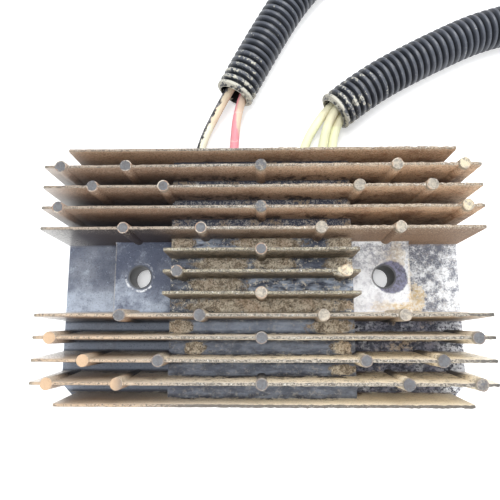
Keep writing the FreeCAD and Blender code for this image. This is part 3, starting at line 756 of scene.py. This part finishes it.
def pin_head_colour(metal):
    """Grey bare metal with a broken pale rim, tan at the upper right and orange at the lower left."""
    mottled = (metal.medium * 0.5 + metal.fine * 0.5).above(0.40, 0.60)
    upper_right = metal.x.above(8.0, 15.0) * metal.y.above(-16.0, -11.0)
    tan = (upper_right + spot_mask(metal, TAN_PINS, 0.9)).above(0.3, 0.7)
    dusty = spot_mask(metal, DUSTY_PINS, 0.9) * metal.gritty.above(0.46, 0.58)
    heads = metal.mixed(tan * (0.50 + mottled * 0.4) + dusty * 0.5, PIN_METAL, PIN_TAN)
    heads = metal.mixed((1 - mottled) * (0.75 - tan * 0.35), heads, PIN_STAIN)
    caked = spot_mask(metal, CAKED_PINS, 0.9) * metal.gritty.above(0.40, 0.52)
    heads = metal.mixed(caked, heads, PIN_CRUST)
    orange = metal.y.above(-15.0, -18.0) * metal.x.above(-36.0, -42.0)
    heads = metal.mixed(orange, heads, PIN_ORANGE)
    broken = metal.coarse * 0.5 + metal.gritty * 0.3 + metal.medium * 0.2
    rim = metal.z.above(27.05, 27.08) * broken.above(0.47, 0.52)
    rim_colour = metal.mixed(metal.medium.above(0.45, 0.55), PIN_RIM, PIN_RUST)
    return metal.mixed(rim * (0.8 - metal.y.above(-8.0, -12.0) * 0.5), heads, rim_colour)


SLATE = (0.088, 0.104, 0.158)
SLATE_SCUFF = (0.480, 0.540, 0.640)
DEEP_SLATE = (0.072, 0.082, 0.118)
SLATE_PALE = (0.270, 0.290, 0.340)
# Painted light: the slate coat made paler in the deep channels, standing in for light the fins keep out
LIT_CHANNEL_SLATE = (0.290, 0.330, 0.410)
CHANNEL_LILAC = (0.300, 0.300, 0.370)
# Soot colour for grime, also used for painted shade at the fins' and pins' roots
SOOT_AND_SHADE = (0.030, 0.031, 0.040)
GAP_SLATE = (0.070, 0.078, 0.112)
GAP_GRAINS = (0.460, 0.450, 0.430)
SAND = (0.430, 0.335, 0.230)
SAND_PALE = (0.850, 0.770, 0.620)
SAND_DARK = (0.100, 0.080, 0.062)
SAND_RUST = (0.480, 0.300, 0.190)
WHITE_RUST = (0.860, 0.875, 0.900)
GREY_RUST = (0.120, 0.130, 0.170)
HAZE = (0.500, 0.465, 0.430)
LILAC_HAZE = (0.520, 0.510, 0.560)
YELLOW_SAND = (0.560, 0.400, 0.190)
YELLOW_DUST = (0.740, 0.620, 0.420)
STEP_SCRATCH = (0.420, 0.390, 0.350)
WASHER_MARK = (0.150, 0.150, 0.250)
WASHER_DARK = (0.055, 0.055, 0.090)
WASHER_CENTRE = (41.0, -0.3, PAD_LEVEL / MM)
YELLOW_SPOTS = [(49.5, -6.0, 3.6, 4.6), (46, -9.8, 7.5, 1.8)]
FAINT_YELLOW_SPOTS = [(43.0, 6.5, 3.6, 4.4), (47.3, 1, 1.5, 9), (38, -9.5, 5.0, 2.0)]
STREAK_SPOTS = [(12, -3, 14, 2), (-14, 10, 7, 2)]


def slate_colour(metal):
    """Dark slate, paler in the channels as painted light, with scuffs, painted shade at the fins' roots, a
    bright line along the pad's step and a ring where a washer rubbed.
    """
    in_bay = metal.in_bay
    # Painted light: the paler slate in the channels, the darker one on the pads
    slate = metal.mixed(in_bay, LIT_CHANNEL_SLATE, SLATE)
    left_flange = metal.x.above(-46.8, -47.4) * metal.coarse.above(0.25, 0.60)
    slate = metal.mixed(left_flange * 0.62, slate, SLATE_PALE)
    slate = metal.mixed(metal.coarse.above(0.45, 0.70) * 0.4, slate, SLATE_PALE)
    low = metal.y.above(0.0, -9.5) * in_bay
    slate = metal.mixed(low * metal.coarse.above(0.25, 0.60) * 0.75, slate, SLATE_SCUFF)
    scuffs = (metal.medium * 0.6 + metal.coarse * 0.4 + low * 0.10).above(0.50, 0.76)
    slate = metal.mixed(scuffs * 0.75, slate, SLATE_SCUFF)
    slate = metal.mixed((metal.fine * 0.7 + metal.medium * 0.3).above(0.57, 0.67) * 0.6, slate, SLATE_SCUFF)
    slate = metal.mixed(metal.fine.above(0.45, 0.34) * 0.5, slate, SOOT_AND_SHADE)
    # Painted shade along the fins' roots in the channels
    slate = metal.mixed(metal.from_fin.above(2.4, 1.7) * (1 - in_bay) * 0.7, slate, SOOT_AND_SHADE)
    step = metal.x.above(-46.5, -46.9) * metal.x.above(-47.6, -47.2) * metal.medium.above(0.38, 0.50)
    slate = metal.mixed(step * in_bay * 0.6, slate, STEP_SCRATCH)
    from_bolt = metal.distance(LEFT_BOLT)
    ring = from_bolt.above(4.1, 4.4) * from_bolt.above(5.0, 4.7) * metal.medium.above(0.44, 0.56)
    return metal.mixed(ring * (0.3 + metal.y.above(1.0, -2.5) * 0.6), slate, WHITE_RUST)


def corroded_colour(metal):
    """White corrosion over grey on the right pad and flange, stained yellow by the step."""
    flange_side = metal.x.above(46.5, 48.0)
    blotches = metal.coarse * 0.30 + metal.medium * 0.45 + metal.fine * 0.25
    flange = metal.mixed((blotches + metal.y * 0.003).above(0.42, 0.56) * 0.95, WHITE_RUST, GREY_RUST)
    flange = metal.mixed(metal.gritty.above(0.48, 0.38) * 0.4, flange, HAZE)
    hazy = metal.x.above(31.0, 40.0) * 0.6 + 0.15
    pad = metal.mixed((metal.coarse + metal.y * 0.008).above(0.40, 0.60) * hazy, WHITE_RUST, HAZE)
    pad = metal.mixed((blotches + metal.y * 0.006).above(0.50, 0.62) * 0.8, pad, GREY_RUST)
    lilac = (metal.medium * 0.6 + metal.coarse * 0.4 - metal.y * 0.006).above(0.44, 0.60)
    pad = metal.mixed(lilac * 0.5, pad, LILAC_HAZE)
    pad = metal.mixed(metal.gritty.above(0.50, 0.62) * 0.22, pad, GREY_RUST)
    pad = metal.mixed(metal.gritty.above(0.46, 0.38) * 0.5, pad, WHITE_RUST)
    corroded = metal.mixed(flange_side, pad, flange)
    broken = metal.medium * 2.2 + metal.gritty * 1.6 - 0.9
    faint = spot_mask(metal, FAINT_YELLOW_SPOTS, broken)
    yellow = (spot_mask(metal, YELLOW_SPOTS, broken) + faint * 0.45).above(0.0, 1.0)
    yellow_sand = metal.mixed(metal.gritty.above(0.42, 0.58), YELLOW_DUST, YELLOW_SAND)
    corroded = metal.mixed(yellow * (0.35 + metal.gritty.above(0.38, 0.56) * 0.5), corroded, yellow_sand)
    from_washer = metal.distance(WASHER_CENTRE)
    worn = (from_washer + metal.medium * 2.0 + metal.fine * 1.2).above(7.0, 6.4)
    mark = metal.mixed((metal.medium * 0.5 + metal.gritty * 0.5).above(0.44, 0.56), WASHER_MARK, WASHER_DARK)
    rim = from_washer.above(5.6, 6.4)
    mark = metal.mixed(rim * 0.6, mark, WASHER_DARK)
    return metal.mixed(worn * (0.75 + metal.fine * 0.3), corroded, mark)


def sandy_colour(metal):
    """Dried sandy dirt, pale where it is dusty and dark in its pits."""
    grit = metal.gritty * 0.45 + metal.fine * 0.55
    sand = metal.mixed(metal.medium.above(0.40, 0.64) * 0.45, SAND, SAND_PALE)
    sand = metal.mixed(grit.above(0.50, 0.58) * 0.75, sand, SAND_PALE)
    sand = metal.mixed(metal.coarse.above(0.50, 0.66) * 0.35, sand, SAND_RUST)
    sand = metal.mixed((metal.coarse * 0.4 + metal.medium * 0.6).above(0.50, 0.40) * 0.55, sand, SAND_DARK)
    return metal.mixed(grit.above(0.48, 0.41) * 0.85, sand, SAND_DARK)


def right_floor_colour(metal, sand):
    """The channels of the right side, lilac and grey with sand and white rust, round the corroded pad."""
    channels = metal.mixed(metal.medium.above(0.46, 0.56), GREY_RUST, CHANNEL_LILAC)
    sandy = (metal.coarse * 0.7 + metal.gritty * 0.3).above(0.54, 0.60)
    channels = metal.mixed(sandy * 0.85, channels, sand)
    pale = metal.coarse.above(0.47, 0.40) * 0.7 + metal.x.above(54.0, 60.0) * metal.medium.above(0.40, 0.52)
    channels = metal.mixed(pale * metal.gritty.above(0.42, 0.54) * 0.8, channels, WHITE_RUST)
    channels = metal.mixed(metal.gritty.above(0.50, 0.42) * 0.7, channels, SOOT_AND_SHADE)
    return metal.mixed(metal.in_bay, channels, corroded_colour(metal))


def platform_colour(metal, sand):
    """Slate with grime, streaks, grains and painted shade at the fins' roots, under patches of sand; dusty
    north gaps, with soot and painted shade by each north fin.
    """
    lower_half = metal.lower_half
    # Painted light: the paler channel slate on the platform's lower half, back to deep slate further south
    clean = metal.mixed(lower_half * (1.10 - metal.y.above(-16.0, -22.0) * 0.85), DEEP_SLATE, LIT_CHANNEL_SLATE)
    grime = (metal.coarse * 0.5 + metal.medium * 0.5).above(0.42, 0.60) * (0.65 - lower_half * 0.35)
    clean = metal.mixed(grime, clean, SOOT_AND_SHADE)
    # Painted shade along the fins' roots on the platform
    clean = metal.mixed(metal.from_fin.above(2.3, 1.5) * 0.8, clean, SOOT_AND_SHADE)
    worn_streaks = metal.grain(1.8, 4.0, 0.65, stretch=(0.35, 1, 1), shift=4.0)
    streaked = spot_mask(metal, STREAK_SPOTS, metal.coarse) * 0.75 + 0.4
    clean = metal.mixed(worn_streaks.above(0.36, 0.70) * streaked, clean, SLATE_SCUFF)
    grains = (metal.gritty * 0.7 + metal.medium * 0.3).above(0.53, 0.60) * (0.8 - lower_half * 0.6)
    clean = metal.mixed(grains, clean, SAND_PALE)
    platform = metal.mixed(metal.caked, clean, sand)

    # Soot and painted shade on the gaps' floors beside each north fin
    by_north_fin = metal.y.math("FLOORED_MODULO", metal.y, FIN_PITCH / MM).above(4.8, 5.3)
    speckle = metal.fine * 0.45 + metal.gritty * 0.35 + metal.coarse * 0.3 - by_north_fin * 0.10
    grain_colour = metal.mixed(metal.coarse.above(0.45, 0.60), GAP_GRAINS, SAND)
    dusty = metal.mixed(speckle.above(0.52, 0.60) * 0.85, GAP_SLATE, grain_colour)
    return metal.mixed(metal.north, platform, metal.mixed(by_north_fin * 0.9, dusty, SOOT_AND_SHADE))


def casting_finish(name, head_colour, pin_side_marks=0.0):
    """The casting's finish, with its own colour on the heads: the fins' tips or the pins' ends."""
    metal = Finish(name, Specular_IOR_Level=0.5)
    facing = metal.node("ShaderNodeNewGeometry", {}, {}, "Normal")
    upward = metal.node("ShaderNodeSeparateXYZ", {}, {0: facing}, "Z")
    metal.northward = metal.node("ShaderNodeSeparateXYZ", {}, {0: facing}, "Y")
    metal.coarse = metal.grain(8.0, 4.0, 0.6)
    metal.medium = metal.grain(2.2, 5.0, 0.7, shift=7.0)
    metal.fine = metal.grain(0.48, 3.0, 0.7, shift=3.0)
    metal.gritty = metal.grain(0.95, 4.0, 0.75, shift=5.0)
    metal.off_axis = abs(metal.y)
    metal.right_side = metal.x.above(-35.0, 45.0)
    metal.short_fins = metal.off_axis.above(8.4, 7.4)
    metal.in_bay = metal.off_axis.above(12.6, 11.6)
    metal.lower_half = metal.y.above(-11.8, -12.6)
    metal.north = metal.y.above(12.5, 14.0)
    metal.from_fin = metal.y.folded(FIN_PITCH / MM / 2)
    metal.caked = spot_mask(metal, SAND_PATCHES, metal.medium * 1.8 + metal.gritty * 0.8 - 0.45)
    mirrored_place = metal.node("ShaderNodeCombineXYZ", {}, {"X": abs(metal.x), "Y": metal.y})
    metal.from_bolt_axis = metal.distance(BOLT_AXIS, mirrored_place)
    flat = upward.above(0.4, 0.75)
    tip = upward.above(0.35, 0.8) * metal.z.above(20.5, 21.5)

    sand = sandy_colour(metal)
    low_floor = metal.mixed(metal.x.above(27.0, 29.0), slate_colour(metal), right_floor_colour(metal, sand))
    low_floor = metal.mixed(metal.from_bolt_axis.above(4.05, 3.8) * 0.85, low_floor, HOLE_WALL)
    floor = metal.mixed(metal.z.above(13.6, 14.0), low_floor, platform_colour(metal, sand))

    # Soot and painted shade on the pins' sides: darker toward the root and on the north flanks in the middle
    behind = metal.northward.above(0.35, 0.8) * abs(metal.x).above(34.0, 22.0)
    soot_and_shade_sides = (metal.z.above(21.0, 13.0) + behind) * metal.lower_half * pin_side_marks
    edge = metal.z.above(25.3, 26.6) * metal.x.above(-38.0, -32.0) * pin_side_marks
    sides = metal.mixed(edge, metal.mixed(soot_and_shade_sides, fin_face_colour(metal), SOOT_AND_SHADE), PIN_EDGE)
    colour = metal.mixed(flat, sides, floor)
    metal.feed("Base Color", metal.mixed(tip, colour, head_colour(metal)))

    polished = metal.x.above(-46.0, -58.0) + metal.lower_half * metal.x.above(52.0, 62.0)
    dirty = metal.caked + metal.north
    dulled = (flat + dirty + metal.right_side) * 0.2
    metal.feed("Roughness", 0.38 - polished * 0.16 + dulled + metal.fine * 0.12)
    coarseness = 0.12 + (flat + tip) * 0.5 + dirty * 0.7 + metal.right_side * 0.25
    metal.bump((metal.gritty * 0.7 + metal.medium) * coarseness, 0.45, 0.8)
    return metal.material


heat_sink.data.materials.append(casting_finish("weathered_casting", fin_tip_colour))
heat_sink.data.materials.append(casting_finish("pin_ends", pin_head_colour, 0.9))


# Potting resin. Dark epoxy poured into the cavity over the circuit, level but for the faint swell and
# dust it cured with.
resin = Finish("potting_epoxy", Specular_IOR_Level=0.5)
dust = resin.grain(1.2, 4.0, 0.65)
swell = resin.grain(14.0, 2.0)
resin.feed("Base Color", resin.mixed(dust.above(0.5, 0.75) * 0.5, (0.014, 0.014, 0.017), (0.10, 0.095, 0.09)))
resin.feed("Roughness", 0.22 + dust * 0.35)
resin.bump(swell * 1.0 + dust * 0.05, 0.5, 0.5)


def refinish(node, finish):
    """Gives a CAD node a finish of this file in place of its plain one."""
    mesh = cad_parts[node].data
    mesh.materials.clear()
    mesh.materials.append(finish.material)


refinish("potting_resin", resin)


# Circuit. A ceramic plate with copper tracks and busbars carries the diodes and thyristors, and a
# green board on pins drives them. All of it is sealed in the resin.
def mottled_finish(name, size, first, second, patches=None, rough=None, **constants):
    """A finish of two colours mottled at one size, its roughness a base, a change and the change's size."""
    finish = Finish(name, **constants)
    grain = finish.grain(size)
    mask = grain.above(*patches) if patches else grain
    finish.feed("Base Color", finish.mixed(mask, first, second))
    if rough:
        base, change, change_size = rough
        finish.feed("Roughness", base + finish.grain(change_size) * change)
    return finish


ALUMINA = ((0.72, 0.71, 0.67), (0.86, 0.85, 0.82))
COPPER = ((0.86, 0.42, 0.24), (0.55, 0.24, 0.13))
CHIP_BLACK = ((0.018, 0.018, 0.020), (0.045, 0.045, 0.05))
BOARD_GREEN = ((0.012, 0.10, 0.045), (0.02, 0.15, 0.07))
TIN = ((0.55, 0.55, 0.56), (0.75, 0.75, 0.76))
ceramic = mottled_finish("alumina_plate", 0.6, *ALUMINA, patches=(0.35, 0.7), Roughness=0.5)
copper = mottled_finish(
    "copper_strip", 1.5, *COPPER, patches=(0.4, 0.7), rough=(0.25, 0.3, 0.5), Metallic=1.0
)
black_plastic = mottled_finish("chip_plastic", 0.3, *CHIP_BLACK, rough=(0.45, 0.2, 0.3))
green_board = mottled_finish("green_board", 2.0, *BOARD_GREEN, patches=(0.45, 0.6), rough=(0.3, 0.15, 0.4))
tin = mottled_finish("tinned_pin", 0.4, *TIN, rough=(0.3, 0.2, 0.3), Metallic=1.0)

CIRCUIT = {
    "circuit_substrate": ceramic,
    "ground_busbar": copper,
    "positive_busbar": copper,
    "ground_terminal": copper,
    "positive_terminal": copper,
    "control_board": green_board,
    "control_board_pins": tin,
    "control_chip": black_plastic,
    "smoothing_capacitor": ceramic,
    "reference_diode": black_plastic,
    "sense_resistors": black_plastic,
}
for node, finish in CIRCUIT.items():
    refinish(node, finish)
for number in (1, 2, 3):
    refinish(f"phase_track_{number}", copper)
    refinish(f"phase_terminal_{number}", copper)
    for chip in ("lower_diode", "upper_diode", "thyristor"):
        refinish(f"{chip}_{number}", black_plastic)


# Wires. Five stranded leads in soft coloured insulation leave the resin through notches in the wall,
# enter the looms and end in the plugs. Oil and dirt have stained them near the looms' mouths.
LOOM_AXIS_HEIGHT = 6.95
DC_LOOM_ROUTE = [(-9.3, 63.0), (1.7, 84.3), (15.5, 106.4), (36.3, 123.6), (61.5, 133.2)]
AC_LOOM_ROUTE = [(24.8, 56.3), (36.2, 65.6), (55.4, 76.1), (78.9, 87.3), (105.6, 91.1), (132.1, 85.9)]
TERMINAL_FACE = 30.0
PLUG_ENTRY = -8.0
CONTACT_START = 9.0
PLUG_PITCH = 5.8
PLUG_MIDDLE = 6.5
DC_PLUG = {"place": (88.5, 140.7), "heading": 10.0, "nodes": "dc_plug"}
AC_PLUG = {"place": (158.5, 76.6), "heading": -26.0, "nodes": "ac_plug"}
WIRES = {
    "ground_wire": {"bend": 43.0, "mouth": (2.9, -1.2), "bundle": (1.8, -2.4),
                    "loom": DC_LOOM_ROUTE, "plug": DC_PLUG, "lane": 1, "across": PLUG_PITCH / 2},
    "positive_wire": {"bend": 43.0, "mouth": (-1.9, -1.4), "bundle": (-1.8, -2.4),
                      "loom": DC_LOOM_ROUTE, "plug": DC_PLUG, "lane": 2, "across": -PLUG_PITCH / 2},
    "phase_wire_1": {"bend": 43.0, "mouth": (3.4, -1.0), "bundle": (1.9, -2.2),
                     "loom": AC_LOOM_ROUTE, "plug": AC_PLUG, "lane": 1, "across": PLUG_PITCH},
    "phase_wire_2": {"bend": 42.5, "mouth": (1.1, 1.3), "bundle": (0.1, 0.9),
                     "loom": AC_LOOM_ROUTE, "plug": AC_PLUG, "lane": 2, "across": 0.0},
    "phase_wire_3": {"bend": 41.4, "mouth": (-2.1, -0.6), "bundle": (-1.5, -2.1),
                     "loom": AC_LOOM_ROUTE, "plug": AC_PLUG, "lane": 3, "across": -PLUG_PITCH},
}


def beside(route, mouth, bundle):
    """A wire's points in a loom, moved to the left of its centre line and up from it."""
    moved = []
    for index, point in enumerate(route):
        side, rise = mouth if index == 0 else bundle
        here = Vector(point)
        into = (here - Vector(route[max(index - 1, 0)])).normalized()
        out = (Vector(route[min(index + 1, len(route) - 1)]) - here).normalized()
        into = into if index > 0 else out
        out = out if index < len(route) - 1 else into
        left = Vector((-into.y - out.y, into.x + out.x)).normalized()
        spot = here + left * side / math.sqrt((1 + into.dot(out)) / 2)
        moved.append((spot.x, spot.y, LOOM_AXIS_HEIGHT + rise))
    return moved


def plug_spot(plug, along, across):
    """A place in a plug, so far along it and across it."""
    turn = math.radians(plug["heading"])
    x = plug["place"][0] + along * math.cos(turn) - across * math.sin(turn)
    y = plug["place"][1] + along * math.sin(turn) + across * math.cos(turn)
    return (x, y, PLUG_MIDDLE)


def route_curve(name, points, thickness=0.0):
    """A smooth NURBS curve with the route's points, given in millimetres, as its control points."""
    curve = bpy.data.curves.new(name, "CURVE")
    curve.dimensions = "3D"
    spline = curve.splines.new("NURBS")
    spline.points.add(len(points) - 1)
    for control, point in zip(spline.points, points):
        control.co = (*(value * MM for value in point), 1)
    spline.order_u = 3
    spline.use_endpoint_u = True
    spline.resolution_u = 16
    curve.bevel_depth = thickness / 2
    curve.bevel_resolution = 6
    curve.use_fill_caps = True
    piece = bpy.data.objects.new(name, curve)
    bpy.context.scene.collection.objects.link(piece)
    return piece


def line_of(piece):
    """The points along a curve that has no bevel."""
    mesh = bpy.data.meshes.new_from_object(piece)
    return np.array([vertex.co for vertex in mesh.vertices])


def length_of(line):
    return float(np.linalg.norm(np.diff(line, axis=0), axis=1).sum())


OIL = (0.030, 0.028, 0.030)
OIL_GREY = (0.200, 0.195, 0.200)
DRIED_DIRT = (0.760, 0.640, 0.470)
CRACK_EDGE = (0.85, 0.72, 0.66)


def insulation(name, plain, mouth, reach, dirt, dirt_side=0.0, smear=0.0):
    """Soft insulation, dirty near the loom's mouth, cracked, and smeared with oil along its left side."""
    finish = Finish(name, Specular_IOR_Level=0.45)
    stain = finish.grain(1.6, 4.0, 0.65)
    facing = finish.node("ShaderNodeNewGeometry", {}, {}, "Normal")
    rightward = finish.node("ShaderNodeSeparateXYZ", {}, {0: facing}, "X")
    ring = finish.distance(mouth)
    near = ring.above(reach, reach * 0.25) * 0.7
    near = near + rightward * ring.above(reach * 1.3, reach * 0.6) * dirt_side
    colour = finish.mixed((near + stain * 0.5).above(0.50, 0.80) * dirt, plain, DRIED_DIRT)
    crack = (finish.y + stain * 5.0).folded(5.0).above(0.35, 0.1)
    colour = finish.mixed(crack * ring.above(22.0, 14.0) * dirt_side, colour, CRACK_EDGE)
    by_casting = finish.y.above(75.0, 66.0)
    oil = (finish.grain(2.2, 4.0, 0.75) * 0.9 - rightward * 0.45).above(0.50, 0.60) * by_casting * smear
    oil_colour = finish.mixed(stain.above(0.45, 0.60), OIL, OIL_GREY)
    finish.feed("Base Color", finish.mixed(oil, colour, oil_colour))
    finish.feed("Roughness", 0.38 + stain * 0.2)
    finish.bump(stain, 0.06, 0.6)
    return finish


dc_mouth = (*DC_LOOM_ROUTE[0], LOOM_AXIS_HEIGHT)
ac_mouth = (*AC_LOOM_ROUTE[0], LOOM_AXIS_HEIGHT)
cream = insulation("cream_insulation", (0.88, 0.87, 0.68), dc_mouth, 22.0, 1.0, smear=1.0)
red = insulation("red_insulation", (0.86, 0.31, 0.36), dc_mouth, 15.0, 0.85, dirt_side=0.6)
yellow_green = insulation("yellow_insulation", (0.90, 0.91, 0.62), ac_mouth, 8.0, 0.45)
COLOURED = {"ground_wire": (cream, "white_insulation"), "positive_wire": (red, "red_insulation")}

for name, wire in WIRES.items():
    points = [(WIRE_EXITS[name], place, WIRE_EXIT_HEIGHT / MM) for place in (TERMINAL_FACE, wire["bend"])]
    points += beside(wire["loom"], wire["mouth"], wire["bundle"])
    points += [plug_spot(wire["plug"], along, wire["across"]) for along in (PLUG_ENTRY, CONTACT_START)]
    bare_line = route_curve("line", points)
    length = length_of(line_of(bare_line))
    bpy.data.objects.remove(bare_line)
    lead = route_curve(name + "_lead", points, WIRE_DIAMETER)
    finish, slot = COLOURED.get(name, (yellow_green, "yellow_insulation"))
    lead.data.materials.append(finish.material)
    plug = wire["plug"]["nodes"]
    pieces = [f"{plug}_wire_seal_{wire['lane']}", f"{plug}_contact_{wire['lane']}"]
    if wire["lane"] == 1:
        pieces += [f"{plug}_housing", f"{plug}_ring_seal"]
    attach(lead, "root")
    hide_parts(name)
    exit_point = tuple(value * MM for value in points[0])


# Looms. Corrugated polyamide tube slipped over each set of leads, its ribs' crests painted grey as a
# highlight and its grooves left near black as painted shade, and its cut mouth caked with pale dirt.
LOOM_OUTER_RADIUS = 6.7 * MM
LOOM_GROOVE_RADIUS = 5.25 * MM
LOOM_BORE_RADIUS = 5.0 * MM
RIB_PITCH = 2.42 * MM
RIB_SAMPLES = 10
RIB_SHARPNESS = 2.2
RIB_MIDDLE = 0.25
LOOM_SIDES = 48
# Near-black plastic with painted shade in the grooves, and a grey painted highlight for the crests
LOOM_SHADED_BLACK = (0.004, 0.005, 0.007)
LOOM_CREST_HIGHLIGHT = (0.075, 0.083, 0.105)
MOUTH_DIRT = (0.60, 0.58, 0.49)

loom_plastic = Finish("loom_plastic", Specular_IOR_Level=0.6)
scuff = loom_plastic.grain(0.9, 4.0, 0.6)
cloud = loom_plastic.grain(4.0, 3.0)
crest = loom_plastic.node("ShaderNodeAttribute", {"attribute_name": "crest"}, {}, "Fac")
near_end = loom_plastic.node("ShaderNodeAttribute", {"attribute_name": "near_end"}, {}, "Fac")
# Painted highlight and shade: lit grey on the crests, near black in the grooves, varied by a cloud noise
black = loom_plastic.mixed(crest * (0.4 + cloud), LOOM_SHADED_BLACK, LOOM_CREST_HIGHLIGHT)
streak = (crest * 0.32 + near_end * 0.66 + (cloud - 0.5) * 1.5 + (scuff - 0.5) * 1.5).above(0.65, 0.88)
loom_plastic.feed("Base Color", loom_plastic.mixed(streak * 0.85, black, MOUTH_DIRT))
loom_plastic.feed("Roughness", 0.28 + scuff * 0.22 + streak * 0.3)
loom_plastic.bump(scuff, 0.05, 0.5)


def loom_piece(name, route):
    """A ribbed tube along the route's smooth line, with a plain bore."""
    bare_line = route_curve("line", [(x, y, LOOM_AXIS_HEIGHT) for x, y in route])
    line = line_of(bare_line)
    bpy.data.objects.remove(bare_line)
    length = length_of(line)
    travelled = np.concatenate([[0], np.cumsum(np.linalg.norm(np.diff(line, axis=0), axis=1))])
    count = round(length / RIB_PITCH) * RIB_SAMPLES
    along = np.linspace(0, length, count + 1)
    centres = np.stack([np.interp(along, travelled, line[:, axis]) for axis in range(3)], -1)
    forward = np.gradient(centres, axis=0)
    forward /= np.linalg.norm(forward, axis=1)[:, None]
    left = np.stack([-forward[:, 1], forward[:, 0], np.zeros(len(centres))], -1)
    left /= np.linalg.norm(left, axis=1)[:, None]
    up = np.cross(forward, left)
    wave = np.cos(2 * math.pi * along / RIB_PITCH)
    at_crest = np.tanh(RIB_SHARPNESS * (1 + RIB_MIDDLE))
    swell = np.clip(0.5 - 0.5 * np.tanh(RIB_SHARPNESS * (wave - RIB_MIDDLE)) / at_crest, 0.0, 1.0)
    outer = LOOM_GROOVE_RADIUS + (LOOM_OUTER_RADIUS - LOOM_GROOVE_RADIUS) * swell
    turns = np.linspace(0, 2 * math.pi, LOOM_SIDES, endpoint=False)
    ring = left[:, None, :] * np.cos(turns)[None, :, None] + up[:, None, :] * np.sin(turns)[None, :, None]
    skin = centres[:, None, :] + ring * outer[:, None, None]
    bore = centres[:, None, :] + ring * LOOM_BORE_RADIUS
    closed_wall = np.concatenate([bore[:1], skin, bore[::-1][::RIB_SAMPLES // 2]])
    loom = piece_of(name, [grid_form(closed_wall, closed=True)])
    near_mouth = np.exp(-along / (4.0 * RIB_PITCH))
    worn = {
        "crest": np.concatenate([[1.0], swell, np.zeros(len(closed_wall) - len(swell) - 1)]),
        "near_end": np.concatenate([[1.0], near_mouth, near_mouth[::-1][::RIB_SAMPLES // 2]]),
    }
    for layer, values in worn.items():
        attribute = loom.data.attributes.new(layer, "FLOAT", "POINT")
        attribute.data.foreach_set("value", np.repeat(values, LOOM_SIDES).astype(np.float32))
    loom.data.materials.append(loom_plastic.material)
    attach(loom, "root")
    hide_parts(name.replace("_tube", ""))


loom_piece("dc_loom_tube", DC_LOOM_ROUTE)
loom_piece("ac_loom_tube", AC_LOOM_ROUTE)


# Plugs. Moulded nylon housings with a latch arm, a rubber ring seal round the nose, a rubber seal on
# each wire and a tinned contact crimped to its end.
nylon = mottled_finish("plug_nylon", 4.0, (0.55, 0.54, 0.50), (0.68, 0.67, 0.63), rough=(0.42, 0.15, 0.5))
nylon.bump(nylon.grain(0.5), 0.03, 0.5)
rubber = mottled_finish("seal_rubber", 1.0, (0.30, 0.06, 0.03), (0.40, 0.09, 0.05), Roughness=0.6)
for prefix, count in (("dc_plug", 2), ("ac_plug", 3)):
    refinish(prefix + "_housing", nylon)
    refinish(prefix + "_ring_seal", rubber)
    for number in range(1, count + 1):
        refinish(f"{prefix}_wire_seal_{number}", rubber)
        refinish(f"{prefix}_contact_{number}", tin)


# Stage. A pale table under the part, soft lamps above it and the camera almost square over the fins.
floor_mesh = bpy.data.meshes.new("table")
floor_mesh.from_pydata([(-3, -3, 0), (3, -3, 0), (3, 3, 0), (-3, 3, 0)], [], [(0, 1, 2, 3)])
table = bpy.data.objects.new("table", floor_mesh)
bpy.context.scene.collection.objects.link(table)
table.location.z = -0.1 * MM
paper = Finish("table_paper", Roughness=0.9, Specular_IOR_Level=0.1)
seen = paper.node("ShaderNodeLightPath", {}, {}, "Is Camera Ray")
glossy = paper.node("ShaderNodeLightPath", {}, {}, "Is Glossy Ray")
paper.feed("Base Color", paper.mixed(seen, (0.72, 0.72, 0.72), (0.95, 0.95, 0.95)))
paper.feed("Emission Strength", seen * 0.3 + glossy * 0.4)
paper.shader.inputs["Emission Color"].default_value = (1, 1, 1, 1)
floor_mesh.materials.append(paper.material)

world = bpy.data.worlds.new("soft_room")
bpy.context.scene.world = world
world.use_nodes = True
world.node_tree.nodes["Background"].inputs["Color"].default_value = (0.92, 0.96, 1.0, 1)
world.node_tree.nodes["Background"].inputs["Strength"].default_value = 0.9


def lamp(name, place, aim, size, power, colour=(1, 1, 1)):
    light = bpy.data.lights.new(name, "AREA")
    light.shape = "DISK"
    light.size = size
    light.energy = power
    light.color = colour
    stand = bpy.data.objects.new(name, light)
    bpy.context.scene.collection.objects.link(stand)
    stand.location = place
    stand.rotation_euler = (Vector(aim) - Vector(place)).to_track_quat("-Z", "Y").to_euler()


lamp("overhead_lamp", (-0.10, 0.03, 0.75), (0, 0, 0), 0.25, 1.75)
lamp("front_lamp", (0.3, -0.6, 0.6), (0, 0, 0), 0.5, 2.6, (1.0, 0.97, 0.93))
lamp("back_lamp", (0.22, 0.50, 0.68), (0, 0, 0), 0.4, 3.7, (1.0, 0.98, 0.95))

CAMERA_PLACE = (0.10 * MM, -15.55 * MM, 157.5 * MM)
CAMERA_TILT = 0.162
CAMERA_ROLL = 0.025
FOCAL_PIXELS = 467.4
PHOTO_PIXELS = 500
SENSOR = 36.0
camera_data = bpy.data.cameras.new("camera")
camera_data.sensor_width = SENSOR
camera_data.lens = FOCAL_PIXELS / PHOTO_PIXELS * SENSOR
camera_data.clip_start = 10 * MM
camera = bpy.data.objects.new("camera", camera_data)
bpy.context.scene.collection.objects.link(camera)
turn = Matrix.Rotation(CAMERA_ROLL, 4, "Y") @ Matrix.Rotation(CAMERA_TILT, 4, "X")
camera.matrix_world = Matrix.Translation(CAMERA_PLACE) @ turn
bpy.context.scene.camera = camera
bpy.context.scene.view_settings.view_transform = "Standard"
